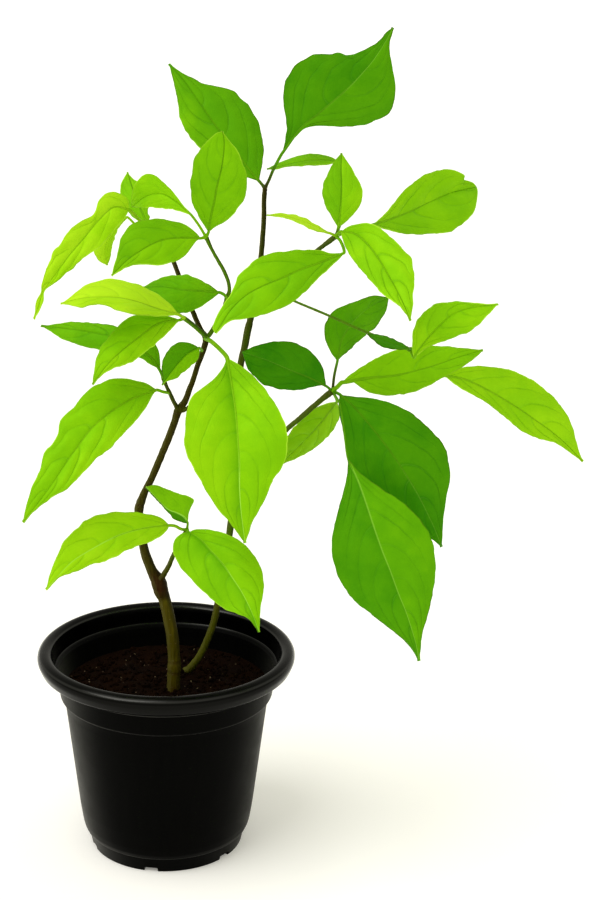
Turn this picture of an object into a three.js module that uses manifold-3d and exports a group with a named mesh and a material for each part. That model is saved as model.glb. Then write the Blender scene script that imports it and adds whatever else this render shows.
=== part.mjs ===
// A young umbrella plant in a black nursery pot: the pot, its soil, two woody stems and 33 leaves.
// Millimetres, +Z up. The origin is the middle of the pot's foot, on the surface it stands on.
import * as THREE from "three";
import { mergeVertices } from "three/addons/utils/BufferGeometryUtils.js";
import Module from "manifold-3d";

const wasm = await Module();
wasm.setup();

// ---------------------------------------------------------------- driving dimensions, mm
const GAP = 0.3;               // clearance between pieces that touch
const ROUND_SIDES = 48;        // facets round the pot and the soil
const BORE_SIDES = 16;         // facets round a hole

const RIM_RADIUS = 75;         // outside of the rolled rim, a 150 mm pot
const POT_HEIGHT = 123.5;
const FOOT_RADIUS = 44.4;      // outside of the foot ring on the table
const FOOT_RING_HEIGHT = 9.2;
const FOOT_RING_WIDTH = 2.8;
const WALL_BOTTOM_RADIUS = 50.2;
const WALL_BOTTOM_HEIGHT = 16;
const COLLAR_RADIUS = 58.8;    // where the tapered wall meets the collar
const COLLAR_HEIGHT = 87.5;
const FLOOR_BOTTOM = 3.8;
const FLOOR_TOP = 6.2;
const PAD_RADIUS = 12;         // flat pad in the middle of the underside, level with the foot
const DRAIN_HOLES = 6;
const DRAIN_RADIUS = 4;
const DRAIN_CIRCLE = 29;
const NOTCHES = 6;
const NOTCH_WIDTH = 8;
const NOTCH_HEIGHT = 2.6;
const NOTCH_DEPTH = 12;        // reaches through the foot ring from both sides
const NOTCH_TURN = -102;       // degrees, the notch nearest the front

const SOIL_TOP = 98;
const SOIL_RELIEF = 1.1;       // height of the lumps in its surface
const STEM_HOLE_DEPTH = 30;
const STEM_HOLE_SLACK = 0.8;   // radius of a hole beyond its stem's, which leans a little in it

const BLADE = 0.7;             // leaf thickness
const RIB_DEPTH = 0.75;        // midrib standing out under the blade, at its base
const RIB_TAPER = 0.6;         // share of that depth lost by the tip
const STALK_RADIUS = 0.85;
const BASE_HALF_WIDTH = 0.7;   // narrowest a half blade gets before its tip
const TIP_HALF_WIDTH = 0.45;
const PILLOW = 0.035;          // rise of each half blade, as a share of its width

// The plant's free forms are set out as they are seen from one viewpoint in front of the pot: a
// point is [across, down, depth], with across and down in that view's 600 x 900 frame, and depth
// in mm behind (+) or in front of (-) the pot's axis.
const VIEW = {
  distance: 930,               // mm in front of the pot's axis
  height: 515,                 // mm above the table
  yaw: 4.69,
  pitch: 16.23,
  roll: 1.22,
  focal: 1695,
  middle: [300, 450],
};

// ---------------------------------------------------------------- colours
const paint = (color, roughness, metalness = 0) =>
  new THREE.MeshStandardMaterial({ color, roughness, metalness });
const MATERIALS = {
  pot: () => paint(0x141516, 0.42),
  soil: () => paint(0x2a1509, 0.95),
  bark: () => paint(0x33291a, 0.6),
  lime: () => paint(0x86c80f, 0.45),
  yellow: () => paint(0xa9dc1e, 0.45),
  green: () => paint(0x58a512, 0.45),
  deep: () => paint(0x347f10, 0.45),
};

// ---------------------------------------------------------------- viewpoint to millimetres
const degrees = Math.PI / 180;

function viewAxes() {
  const [cy, sy] = [Math.cos(VIEW.yaw * degrees), Math.sin(VIEW.yaw * degrees)];
  const [cp, sp] = [Math.cos(VIEW.pitch * degrees), Math.sin(VIEW.pitch * degrees)];
  const [cr, sr] = [Math.cos(VIEW.roll * degrees), Math.sin(VIEW.roll * degrees)];
  const level = new THREE.Vector3(cy, -sy, 0);
  const rise = new THREE.Vector3(sy * sp, cy * sp, cp);
  return {
    right: level.clone().multiplyScalar(cr).addScaledVector(rise, sr),
    up: rise.clone().multiplyScalar(cr).addScaledVector(level, -sr),
    ahead: new THREE.Vector3(sy * cp, cy * cp, -sp),
  };
}
const AXES = viewAxes();
const EYE = new THREE.Vector3(0, -VIEW.distance, VIEW.height);

function at([across, down, depth]) {
  const ray = AXES.ahead.clone()
    .addScaledVector(AXES.right, (across - VIEW.middle[0]) / VIEW.focal)
    .addScaledVector(AXES.up, -(down - VIEW.middle[1]) / VIEW.focal);
  return EYE.clone().addScaledVector(ray, (depth - EYE.y) / ray.y);
}

// ---------------------------------------------------------------- solids
function toSolid(geometry) {
  const bare = geometry.clone();
  bare.deleteAttribute("normal");
  bare.deleteAttribute("uv");
  const merged = mergeVertices(bare, 1e-4);
  return new wasm.Manifold(new wasm.Mesh({
    numProp: 3,
    vertProperties: new Float32Array(merged.attributes.position.array),
    triVerts: new Uint32Array(merged.index.array),
  }));
}

function toGeometry(solid) {
  const mesh = solid.getMesh();
  const geometry = new THREE.BufferGeometry();
  geometry.setAttribute("position", new THREE.BufferAttribute(mesh.vertProperties, 3));
  geometry.setIndex(new THREE.BufferAttribute(mesh.triVerts, 1));
  return geometry;
}

// A closed solid from rings of equally many points, with a cap at each end. From the side named by
// mirroredFrom on, squares are cut along their other diagonal, so that a blade's two faces agree.
function loft(rings, mirroredFrom = Infinity) {
  const sides = rings[0].length;
  const positions = rings.flat().flatMap((p) => [p.x, p.y, p.z]);
  const faces = [];
  for (let i = 0; i + 1 < rings.length; i += 1) {
    for (let k = 0; k < sides; k += 1) {
      const next = (k + 1) % sides;
      const [a, b] = [i * sides + k, i * sides + next];
      const [c, d] = [a + sides, b + sides];
      if (k < mirroredFrom) faces.push(a, b, d, a, d, c);
      else faces.push(a, b, c, b, d, c);
    }
  }
  const last = (rings.length - 1) * sides;
  for (const [a, b, c] of capTriangles(sides)) {
    faces.push(a, c, b);
    faces.push(last + a, last + b, last + c);
  }
  const geometry = new THREE.BufferGeometry();
  geometry.setAttribute("position", new THREE.Float32BufferAttribute(positions, 3));
  geometry.setIndex(faces);
  if (volumeOf(geometry) < 0) {
    for (let f = 0; f < faces.length; f += 3) [faces[f], faces[f + 1]] = [faces[f + 1], faces[f]];
    geometry.setIndex(faces);
  }
  return geometry;
}

// Triangles over one ring, in steps between its two halves, so that a waved ring is covered too.
function capTriangles(sides) {
  const triangles = [];
  for (let k = 0; 2 * k + 3 <= sides; k += 1) {
    const [facing, nextFacing] = [sides - 1 - k, sides - 2 - k];
    triangles.push([k, k + 1, facing]);
    if (nextFacing > k + 1) triangles.push([k + 1, nextFacing, facing]);
  }
  return triangles;
}

function volumeOf(geometry) {
  const [index, position] = [geometry.index, geometry.attributes.position];
  const corner = (i) => new THREE.Vector3().fromBufferAttribute(position, index.getX(i));
  let sum = 0;
  for (let f = 0; f < index.count; f += 3) {
    sum += corner(f).dot(corner(f + 1).cross(corner(f + 2)));
  }
  return sum / 6;
}

// ---------------------------------------------------------------- pot and soil
function arc(centre, radius, from, to, steps) {
  const points = [];
  for (let i = 0; i <= steps; i += 1) {
    const angle = (from + ((to - from) * i) / steps) * degrees;
    points.push([centre[0] + radius * Math.cos(angle), centre[1] + radius * Math.sin(angle)]);
  }
  return points;
}

// The inside of the wall, from the floor up to the underside of the rim's inner edge.
const INNER_WALL = [
  [43, FLOOR_TOP],
  [46, 9.5],
  [48.2, WALL_BOTTOM_HEIGHT + 1.5],
  [COLLAR_RADIUS - 1.9, COLLAR_HEIGHT - 0.5],
  [59.4, 91.5],
  [61.4, 97],
  [62.8, 104],
  [63.8, 110.2],
  [66.2, 111.2],
];

function potProfile() {
  const bead = arc([RIM_RADIUS - 4.6, POT_HEIGHT - 4.6], 4.6, -10, 110, 5);
  return [
    [0, 0],
    [PAD_RADIUS, 0],
    [PAD_RADIUS, FLOOR_BOTTOM],
    [FOOT_RADIUS - FOOT_RING_WIDTH, FLOOR_BOTTOM],
    [FOOT_RADIUS - FOOT_RING_WIDTH, 0],
    [FOOT_RADIUS, 0],
    [46.9, FOOT_RING_HEIGHT],
    [48.4, FOOT_RING_HEIGHT + 0.5],
    [49.6, 12.4],
    [WALL_BOTTOM_RADIUS, WALL_BOTTOM_HEIGHT],
    [COLLAR_RADIUS, COLLAR_HEIGHT],
    [COLLAR_RADIUS + 0.9, COLLAR_HEIGHT + 0.7],
    [62, 92.5],
    [63.8, 97.5],
    [65.2, 104],
    [66.4, 112.4],
    [70.6, 111.8],
    [73.9, 113.6],
    ...bead,
    [67.9, 121.6],
    [67.4, 118],
    ...INNER_WALL.toReversed(),
    [0, FLOOR_TOP],
  ];
}

function lathe(profile) {
  const points = profile.map(([r, z]) => new THREE.Vector2(r, z));
  return new THREE.LatheGeometry(points, ROUND_SIDES).rotateX(Math.PI / 2);
}

function pot() {
  let body = toSolid(lathe(potProfile()));
  for (let i = 0; i < NOTCHES; i += 1) {
    const angle = (NOTCH_TURN + (i * 360) / NOTCHES) * degrees;
    const notch = new THREE.BoxGeometry(NOTCH_DEPTH, NOTCH_WIDTH, 2 * NOTCH_HEIGHT);
    notch.translate(FOOT_RADIUS, 0, 0).rotateZ(angle);
    body = body.subtract(toSolid(notch));
  }
  for (let i = 0; i < DRAIN_HOLES; i += 1) {
    const angle = (NOTCH_TURN + ((i + 0.5) * 360) / DRAIN_HOLES) * degrees;
    const hole = new THREE.CylinderGeometry(DRAIN_RADIUS, DRAIN_RADIUS, 4 * FLOOR_TOP, BORE_SIDES);
    hole.rotateX(Math.PI / 2).translate(DRAIN_CIRCLE, 0, FLOOR_TOP).rotateZ(angle);
    body = body.subtract(toSolid(hole));
  }
  return toGeometry(body);
}

function innerRadiusAt(z) {
  for (let i = 0; i + 1 < INNER_WALL.length; i += 1) {
    const [[r0, z0], [r1, z1]] = [INNER_WALL[i], INNER_WALL[i + 1]];
    if (z >= z0 && z <= z1) return r0 + ((r1 - r0) * (z - z0)) / (z1 - z0);
  }
  throw new Error("height outside the wall");
}

// A plug that fills the pot with a gap all round, its top lumpy but level near the wall and the stems.
function soil(holes) {
  const side = 2 * GAP;
  const edge = innerRadiusAt(SOIL_TOP) - side;
  const wall = INNER_WALL
    .filter(([, z]) => z > FLOOR_TOP && z < SOIL_TOP)
    .map(([r, z]) => [r - side, z]);
  const surface = [1, 0.86, 0.7, 0.52, 0.35, 0.18].map((share) => [edge * share, SOIL_TOP]);
  const floor = [[0, FLOOR_TOP + GAP], [INNER_WALL[0][0] - side, FLOOR_TOP + GAP]];
  const body = lathe([...floor, ...wall, ...surface, [0, SOIL_TOP]]);
  const position = body.attributes.position;
  for (let i = 0; i < position.count; i += 1) {
    if (position.getZ(i) < SOIL_TOP - 0.01) continue;
    const [x, y] = [position.getX(i), position.getY(i)];
    const nearest = Math.min(...holes.map((h) => Math.hypot(x - h.x, y - h.y) - h.radius));
    const fade = THREE.MathUtils.smoothstep(edge - Math.hypot(x, y), 0, 8)
      * THREE.MathUtils.smoothstep(nearest, 2, 10);
    const lumps = Math.sin(x / 5.1 + 1.3) * Math.cos(y / 6.3) + 0.6 * Math.sin((x + y) / 3.7 + 0.4);
    position.setZ(i, SOIL_TOP + SOIL_RELIEF * fade * lumps);
  }
  let solid = toSolid(body);
  for (const hole of holes) {
    const bore = new THREE.CylinderGeometry(hole.radius, hole.radius, 2 * STEM_HOLE_DEPTH, BORE_SIDES);
    bore.rotateX(Math.PI / 2).translate(hole.x, hole.y, SOIL_TOP);
    solid = solid.subtract(toSolid(bore));
  }
  return toGeometry(solid);
}

// ---------------------------------------------------------------- stems
// One limb: points [across, down, depth, radius] joined by a smooth curve, tapering between them.
function limb(points, sides = 8, foot = []) {
  const places = [...foot.map((f) => f.place), ...points.map((p) => at(p))];
  const radii = [...foot.map((f) => f.radius), ...points.map((p) => p[3])];
  const curve = new THREE.CatmullRomCurve3(places, false, "centripetal");
  const steps = 2 * (places.length - 1);
  const frames = curve.computeFrenetFrames(steps, false);
  const rings = [];
  for (let i = 0; i <= steps; i += 1) {
    // getPoint keeps the curve's own parameter, so that every other ring falls on a given point
    const centre = curve.getPoint(i / steps);
    const tangent = curve.getTangent(i / steps);
    const normal = frames.normals[i];
    const side = normal.clone().addScaledVector(tangent, -tangent.dot(normal)).normalize();
    const other = new THREE.Vector3().crossVectors(tangent, side);
    const radius = i % 2 === 0 ? radii[i / 2] : (radii[(i - 1) / 2] + radii[(i + 1) / 2]) / 2;
    const ring = [];
    for (let k = 0; k < sides; k += 1) {
      const angle = (k * 2 * Math.PI) / sides;
      ring.push(centre.clone()
        .addScaledVector(side, radius * Math.cos(angle))
        .addScaledVector(other, radius * Math.sin(angle)));
    }
    rings.push(ring);
  }
  return toSolid(loft(rings));
}

function knob([across, down, depth, radius]) {
  const place = at([across, down, depth]);
  const ball = new THREE.IcosahedronGeometry(radius, 1);
  return toSolid(ball.translate(place.x, place.y, place.z));
}

function join(solids) {
  return toGeometry(solids.reduce((sum, next) => sum.add(next)));
}

// Joints that stems and leaf stalks share.
const TRUNK_FOOT = [173.5, 694, -8];
const FIRST_FORK = [159, 583, -5];
const TWIG_END = [187, 530, -24];
const ELBOW = [138, 507, -3];
const SECOND_FORK = [177, 408, 0];
const INNER_END = [163, 379, -12];
const THIRD_FORK = [206, 337, 3];
const GREEN_END = [183, 318, -11];
const LEFT_END = [150, 232, 36];
const RIGHT_END = [206, 237, -6];
const LOW_LEFT_SPRIG = [169, 394, -5];
const DARK_LEAF_JOINT = [227, 298, 1];

const SIDE_FOOT = [185, 676, 18];
const TOP_FORK = [265, 187, 22];
const LOW_BRANCH_START = [238, 468, 16];
const HUB_LOW = [332, 391, -8];
const MID_BRANCH_START = [255, 294, 18];
const HUB_HIGH = [336, 236, -14];
const HUB_RIGHT = [411, 350, -20];

// How far from the middle of each joint its leaf stalks begin, mm, unless a leaf gives its own seat.
const SEATS = new Map([
  [TOP_FORK, 1.5], [RIGHT_END, 1.5], [LEFT_END, 1.6], [DARK_LEAF_JOINT, 1.5], [GREEN_END, 1.4],
  [INNER_END, 1.4], [LOW_LEFT_SPRIG, 2], [TWIG_END, 1.6], [THIRD_FORK, 2.1], [HUB_HIGH, 2.2],
  [HUB_LOW, 2.5], [HUB_RIGHT, 1.4],
]);

const TRUNK_RADIUS = 4.1;
const SIDE_STEM_RADIUS = 2;

function footOf(start, radius) {
  const entry = at(start);
  return {
    x: entry.x,
    y: entry.y,
    radius: radius + STEM_HOLE_SLACK,
    points: [SOIL_TOP - STEM_HOLE_DEPTH + GAP, SOIL_TOP - 12, SOIL_TOP + 0.5].map((z) => ({
      place: new THREE.Vector3(entry.x, entry.y, z),
      radius,
    })),
  };
}
const TRUNK_HOLE = footOf(TRUNK_FOOT, TRUNK_RADIUS);
const SIDE_HOLE = footOf(SIDE_FOOT, SIDE_STEM_RADIUS);

function mainStem() {
  const trunk = limb([
    [174.1, 677, -8, 3.9], [174.6, 667, -8, 4.1], [174.8, 657, -7, 3.6], [174, 640, -7, 3.6],
    [169.5, 617, -6, 3.6], [163.5, 597, -5, 3.7], [...FIRST_FORK, 4.6], [152.5, 571, -5, 3],
    [146.2, 555, -4, 2.7], [141.5, 540, -4, 2.6], [138.8, 521, -3, 2.5], [...ELBOW, 3],
    [143.5, 496, -3, 2], [155.5, 469, -2, 1.9], [167.3, 439, -1, 2], [...SECOND_FORK, 2.7],
    [185.5, 395, 0, 1.7], [195, 371, 1, 1.55], [201.5, 353, 2, 1.5], [...THIRD_FORK, 2.1],
    [202, 328, 5, 1.5], [191, 300, 12, 1.4], [183.5, 283, 18, 1.35], [176, 268, 24, 1.3],
    [170, 255, 29, 1.25], [161, 241, 33, 1.15], [...LEFT_END, 1.6],
  ], 8, TRUNK_HOLE.points);
  const rightBranch = limb([
    [...THIRD_FORK, 1.4], [213, 326, 3, 1.2], [220, 312, 2, 1.15], [...DARK_LEAF_JOINT, 1.5],
    [228, 285, 0, 1.05], [221.6, 266, -2, 1], [213, 250, -4, 0.95], [...RIGHT_END, 1.5],
  ], 7);
  const innerTwig = limb([
    [...SECOND_FORK, 1.5], [172, 398, -4, 1.25], [166.5, 388, -8, 1.15], [...INNER_END, 1.4],
  ], 7);
  const greenTwig = limb([
    [...THIRD_FORK, 1.4], [197, 329, -4, 1.1], [190, 322, -8, 1.05], [...GREEN_END, 1.4],
  ], 7);
  const lowTwig = limb([
    [...FIRST_FORK, 1.8], [166, 570, -12, 1.45], [171.5, 558, -17, 1.2], [178, 544, -21, 1.1],
    [...TWIG_END, 1.6],
  ], 7);
  return join([trunk, rightBranch, innerTwig, greenTwig, lowTwig, knob([183, 407, -1, 1.6])]);
}

function sideStem() {
  const stem = limb([
    [188, 670, 17, 2.1], [193, 665, 16, 2.1], [200, 656, 15, 2], [208, 638, 15, 2],
    [213.5, 620, 15, 1.9], [217, 603, 15, 1.9], [220, 588, 15, 1.85], [226, 556, 16, 1.8],
    [230, 527, 16, 1.8], [234, 495, 16, 1.8], [...LOW_BRANCH_START, 2], [239, 430, 16, 1.75],
    [240, 395, 17, 1.75], [241, 362, 17, 1.75], [246, 336, 17, 1.8], [250.5, 318, 18, 1.75],
    [...MID_BRANCH_START, 1.9], [259, 270, 19, 1.55], [262, 240, 20, 1.4], [263.7, 212, 21, 1.25],
    [...TOP_FORK, 1.5],
  ], 8, SIDE_HOLE.points);
  const lowBranch = limb([
    [...LOW_BRANCH_START, 1.5], [262, 450, 10, 1.4], [286, 431, 4, 1.3], [308, 411, -2, 1.3],
    [...HUB_LOW, 2.3],
  ], 7);
  const highBranch = limb([
    [...MID_BRANCH_START, 1.4], [285, 273, 6, 1.25], [319.5, 248, -7, 1.15], [...HUB_HIGH, 1.9],
  ], 7);
  const thinBranch = limb([
    [...MID_BRANCH_START, 0.9], [275, 294, 11, 0.8], [301, 304, 3, 0.7], [333, 317, -6, 0.7],
    [366, 332.5, -12, 0.7], [390, 341, -16, 0.8], [...HUB_RIGHT, 1.4],
  ], 6);
  return join([stem, lowBranch, highBranch, thinBranch]);
}

// ---------------------------------------------------------------- leaves
// A leaf is one piece: a stalk from a joint of the stem, then a blade on its midrib. The midrib
// and both margins run from the blade's base to its tip as points in the view. depth gives the
// midrib's depth at base, middle and tip, and lean how fast each half falls back from it.
const LEAVES = [
  {
    name: "leaf_01_top_right", colour: "green", joint: TOP_FORK, seat: 0.4, stalk: [[273, 167, 21]],
    rib: [[284, 148], [301, 128], [341, 92], [370, 64], [393, 27]], depth: [22, 36, 48],
    left: [[284, 122], [284, 94], [287, 77], [314, 55], [346, 56], [374, 43]],
    right: [[304, 131], [330, 127], [372, 121], [392, 106], [395, 83], [388, 48]],
    lean: [0.1, 0.15], wave: 1.2,
  },
  {
    name: "leaf_02_top_left", colour: "green", joint: TOP_FORK, stalk: [],
    rib: [[259, 181], [247, 167], [223, 132], [198, 95], [184, 76], [169, 64]], depth: [24, 38, 55],
    left: [[237, 173], [214, 160], [198, 146], [186, 131], [178, 106], [172, 82]],
    right: [[262, 166], [263, 146], [249, 113], [232, 92], [213, 86], [190, 73]],
    lean: [-0.4, 0.5], wave: 1,
  },
  {
    name: "leaf_03_centre_up", colour: "lime", joint: RIGHT_END, stalk: [],
    rib: [[209, 231], [215, 199], [221, 173], [224, 145], [222, 131]], depth: [-7, -24, -30],
    left: [[201, 220], [193, 207], [191, 190], [195, 156], [208, 138]],
    right: [[222, 224], [236, 211], [246, 194], [247, 175], [240, 158], [231, 140]],
    lean: [0.2, 0.2], wave: 0.8,
  },
  {
    name: "leaf_04_left_light", colour: "lime", joint: RIGHT_END, seat: 0.7, stalk: [[199, 226, -4]],
    rib: [[191, 215], [178, 203], [162, 194], [147, 196], [132, 207]], depth: [-3, 10, 28],
    left: [[184, 202], [172, 188], [158, 177], [147, 174], [137, 180], [132, 193]],
    right: [[178, 211], [163, 208], [150, 208], [139, 209]],
    lean: [0.35, -0.4], wave: 0.6,
  },
  {
    name: "leaf_05_left_upright", colour: "green", joint: LEFT_END, seat: 0.7, stalk: [],
    rib: [[147, 223], [142, 212], [134, 192], [127, 172]], depth: [39, 50, 62],
    left: [[136, 219], [126, 207], [120, 194], [122, 182]],
    right: [[151, 212], [152, 200], [147, 188], [137, 179]],
    lean: [0.2, 0.4], wave: 0.5,
  },
  {
    name: "leaf_06_left_drooping", colour: "yellow", joint: LEFT_END, stalk: [[140, 221, 29]],
    rib: [[129, 210], [114, 207], [98, 221], [84, 238], [66, 260], [48, 287], [41, 298], [34, 319]],
    depth: [23, 6, -18],
    left: [[128, 200], [120, 193], [108, 192], [98, 202], [94, 214], [73, 226], [56, 250], [42, 280],
      [37, 305]],
    right: [[124, 221], [113, 232], [104, 243], [93, 252], [68, 270], [52, 284], [44, 292], [41, 305]],
    lean: [0.35, -0.35], wave: 0.4,
  },
  {
    name: "leaf_07_left_pointed", colour: "green", joint: LEFT_END, seat: 1.4, stalk: [[140, 229, 42]],
    rib: [[127, 217], [114, 231], [105, 248], [107, 265]], depth: [44, 56, 64],
    left: [[111, 222], [99, 236], [94, 249], [98, 259]],
    right: [[122, 223], [116, 234], [112, 247], [110, 257]],
    lean: [0.4, 0.4], wave: 0.3,
  },
  {
    name: "leaf_08_left_middle", colour: "lime", joint: RIGHT_END, stalk: [],
    rib: [[200, 238], [182, 238], [163, 240], [149, 246], [129, 259], [112, 275]],
    depth: [-8, -24, -44],
    left: [[195, 232], [187, 226], [169, 220], [149, 219], [134, 225], [124, 234], [119, 250]],
    right: [[195, 242], [187, 252], [175, 260], [159, 264], [134, 264], [120, 269]],
    lean: [0.5, -0.4], wave: 0.9,
  },
  {
    name: "leaf_09_left_shaded", colour: "green", joint: DARK_LEAF_JOINT, seat: 1.7,
    stalk: [[222.5, 297, -2]],
    rib: [[219, 292], [202, 291], [183, 290], [163, 287], [143, 287]], depth: [0, 4, 26],
    left: [[211, 287], [199, 280], [188, 276], [174, 275], [160, 279]],
    right: [[214, 297], [205, 304], [194, 309], [178, 308], [160, 298]],
    lean: [0.5, -0.2], wave: 0.5,
  },
  {
    name: "leaf_10_left_yellow", colour: "yellow", joint: GREEN_END, seat: 0.3, stalk: [],
    rib: [[177, 314], [158, 309], [138, 302], [120, 298], [100, 297], [84, 298], [60, 303]],
    depth: [-15, -20, -24],
    left: [[168, 303], [157, 294], [143, 287], [131, 283], [108, 279], [84, 286], [70, 297]],
    right: [[168, 316], [158, 317], [133, 314], [117, 309], [106, 306], [84, 307], [72, 305]],
    lean: [1.2, -1.4], wave: 0.4,
  },
  {
    name: "leaf_11_left_folded", colour: "lime", joint: GREEN_END, stalk: [],
    rib: [[177, 323], [160, 325], [134, 341], [110, 362], [93, 384]], depth: [-12, -21, -44],
    left: [[168, 314], [150, 312], [133, 316], [119, 326], [107, 340], [98, 353], [95, 368]],
    right: [[169, 333], [155, 347], [141, 357], [131, 364], [107, 374]],
    lean: [0.7, -0.3], wave: 0.7,
  },
  {
    name: "leaf_12_left_dark", colour: "green", joint: INNER_END, stalk: [],
    rib: [[159, 372], [145, 357], [120, 341], [90, 332], [65, 328], [42, 326]], depth: [-7, 10, 34],
    left: [[162, 358], [155, 345], [140, 333], [119, 326], [103, 323], [86, 322], [65, 323]],
    right: [[150, 369], [130, 361], [98, 349], [76, 345], [60, 338], [50, 331]],
    lean: [0.4, -0.3], wave: 0.5,
  },
  {
    name: "leaf_13_inner_small", colour: "green", joint: INNER_END, stalk: [],
    rib: [[166, 380], [173, 368], [184, 355], [199, 346]], depth: [-16, -24, -30],
    left: [[162, 368], [167, 351], [176, 343], [188, 342]],
    right: [[174, 379], [186, 373], [197, 359]],
    lean: [0.2, -0.2], wave: 0.3,
  },
  {
    name: "leaf_14_left_large", colour: "lime", joint: LOW_LEFT_SPRIG, seat: 2.4,
    stalk: [[163, 396, -11]],
    rib: [[156, 390], [130, 400], [96, 424], [73, 453], [48, 490], [23, 522]], depth: [-12, -42, -78],
    left: [[146, 383], [134, 380], [115, 378], [101, 382], [86, 392], [76, 405], [61, 419], [57, 436],
      [43, 455], [40, 471], [32, 487], [26, 506]],
    right: [[153, 395], [147, 405], [134, 420], [111, 447], [94, 461], [73, 480], [57, 493], [36, 508]],
    lean: [0.55, -0.45], wave: 0.5,
  },
  {
    name: "leaf_15_low_small", colour: "green", joint: TWIG_END, seat: 1.1, stalk: [],
    rib: [[187, 523], [180, 510], [166, 498], [146, 487]], depth: [-26, -33, -38],
    left: [[194, 514], [193, 500], [179, 494], [162, 488]],
    right: [[180, 517], [168, 511], [156, 499]],
    lean: [0.5, -0.3], wave: 0.3,
  },
  {
    name: "leaf_16_low_left", colour: "lime", joint: TWIG_END, stalk: [[180, 528, -28]],
    rib: [[169, 525], [146, 528], [120, 535], [94, 548], [72, 562], [46, 589]], depth: [-30, -56, -82],
    left: [[160, 518], [149, 515], [135, 512], [120, 512], [94, 518], [77, 529], [64, 544], [56, 559],
      [50, 575]],
    right: [[166, 531], [155, 540], [138, 546], [118, 556], [103, 562], [85, 567], [61, 580]],
    lean: [0.6, -0.5], wave: 0.7,
  },
  {
    name: "leaf_17_low_right", colour: "lime", joint: TWIG_END, stalk: [],
    rib: [[190, 535], [210, 550], [224, 565], [235, 581], [248, 605], [259, 632]],
    depth: [-29, -52, -72],
    left: [[177, 538], [173, 550], [181, 562], [196, 579], [216, 601], [236, 612], [250, 619]],
    right: [[209, 530], [229, 537], [249, 553], [260, 570], [263, 590], [261, 612]],
    lean: [0.1, 0.2], wave: 0.8,
  },
  {
    name: "leaf_18_front_large", colour: "lime", joint: THIRD_FORK,
    stalk: [[211, 343, -10], [219, 351, -17]],
    rib: [[227, 359], [234, 385], [239, 429], [241, 468], [244, 518], [245, 542]],
    depth: [-24, -66, -76],
    left: [[222, 368], [205, 385], [191, 397], [185, 419], [184, 441], [187, 456], [199, 476],
      [215, 504], [230, 522]],
    right: [[238, 363], [254, 377], [272, 399], [284, 425], [287, 447], [282, 464], [272, 478],
      [264, 498], [252, 520]],
    lean: [-0.12, -0.12], wave: 0.8,
  },
  {
    name: "leaf_19_centre_long", colour: "lime", joint: HUB_HIGH, stalk: [[341, 243, -19]],
    rib: [[343, 253], [333, 258], [312, 266], [279, 279], [246, 298], [216, 333]],
    depth: [-22, -34, -50],
    left: [[330, 252], [317, 250], [297, 250], [277, 252], [258, 258], [240, 276], [229, 296],
      [218, 313]],
    right: [[338, 262], [317, 280], [293, 301], [279, 308], [256, 316], [244, 319], [226, 326]],
    lean: [0.5, -0.4], wave: 0.7,
  },
  {
    name: "leaf_20_high_up", colour: "lime", joint: HUB_HIGH, seat: 1.7, stalk: [],
    rib: [[338, 227], [342, 208], [343, 188], [342, 170], [341, 153]], depth: [-15, -3, 16],
    left: [[332, 217], [325, 205], [322, 193], [324, 183], [331, 167]],
    right: [[347, 219], [357, 210], [362, 196], [361, 186], [353, 173]],
    lean: [-0.1, 0.2], wave: 0.5,
  },
  {
    name: "leaf_21_right_long", colour: "lime", joint: HUB_HIGH, stalk: [[350, 231, -8]],
    rib: [[371, 224], [389, 219], [408, 211], [431, 200], [455, 189], [476, 186]], depth: [4, 36, 66],
    left: [[379, 217], [389, 208], [406, 188], [426, 174], [446, 169], [462, 174]],
    right: [[381, 228], [394, 231], [416, 234], [434, 233], [449, 231], [464, 221], [473, 208]],
    lean: [0.3, -0.3], wave: 0.9,
  },
  {
    name: "leaf_22_high_front", colour: "yellow", joint: HUB_HIGH, seat: 1.1, stalk: [],
    rib: [[341, 231], [354, 233], [370, 245], [386, 268], [402, 298], [410, 320]],
    depth: [-20, -52, -80],
    left: [[341, 241], [346, 251], [356, 264], [373, 283], [386, 296], [400, 306]],
    right: [[350, 226], [363, 223], [373, 224], [384, 231], [397, 244], [411, 259], [414, 280],
      [412, 303]],
    lean: [-0.3, 0.3], wave: 0.7,
  },
  {
    name: "leaf_23_high_left_thin", colour: "yellow", joint: HUB_HIGH, stalk: [],
    rib: [[329, 233], [316, 228], [300, 222], [285, 217], [267, 214.5]], depth: [-17, -30, -44],
    left: [[318, 226], [304, 218], [286, 214]],
    right: [[321, 232], [306, 229], [288, 220]],
    lean: [2, -2], wave: 0.3,
  },
  {
    name: "leaf_24_high_back", colour: "green", joint: HUB_HIGH, stalk: [[341, 222, -3], [346, 190, 22]],
    rib: [[333, 160], [315, 159], [298, 162], [281, 165], [267, 168]], depth: [35, 40, 46],
    left: [[322, 155], [306, 153], [289, 157], [276, 163]],
    right: [[325, 164], [308, 165], [291, 166], [277, 168.5]],
    lean: [1.6, -1.6], wave: 0.3,
  },
  {
    name: "leaf_25_hub_left", colour: "deep", joint: HUB_LOW, stalk: [],
    rib: [[326, 386], [300, 373], [273, 362], [256, 356], [242, 352]], depth: [-11, -18, -24],
    left: [[323, 373], [316, 358], [305, 347], [284, 342], [264, 343], [251, 347]],
    right: [[315, 390], [302, 390], [276, 388], [259, 382], [247, 370]],
    lean: [0.3, -0.3], wave: 0.6,
  },
  {
    name: "leaf_26_hub_up", colour: "deep", joint: HUB_LOW, seat: 1.7, stalk: [[334, 375, -4]],
    rib: [[337, 361], [341, 340], [353, 321], [370, 306], [388, 297]], depth: [3, 24, 46],
    left: [[329, 350], [325, 337], [328, 320], [340, 305], [356, 298], [375, 294]],
    right: [[350, 350], [365, 336], [378, 325], [386, 311]],
    lean: [-0.2, 0.3], wave: 0.6,
  },
  {
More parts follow.
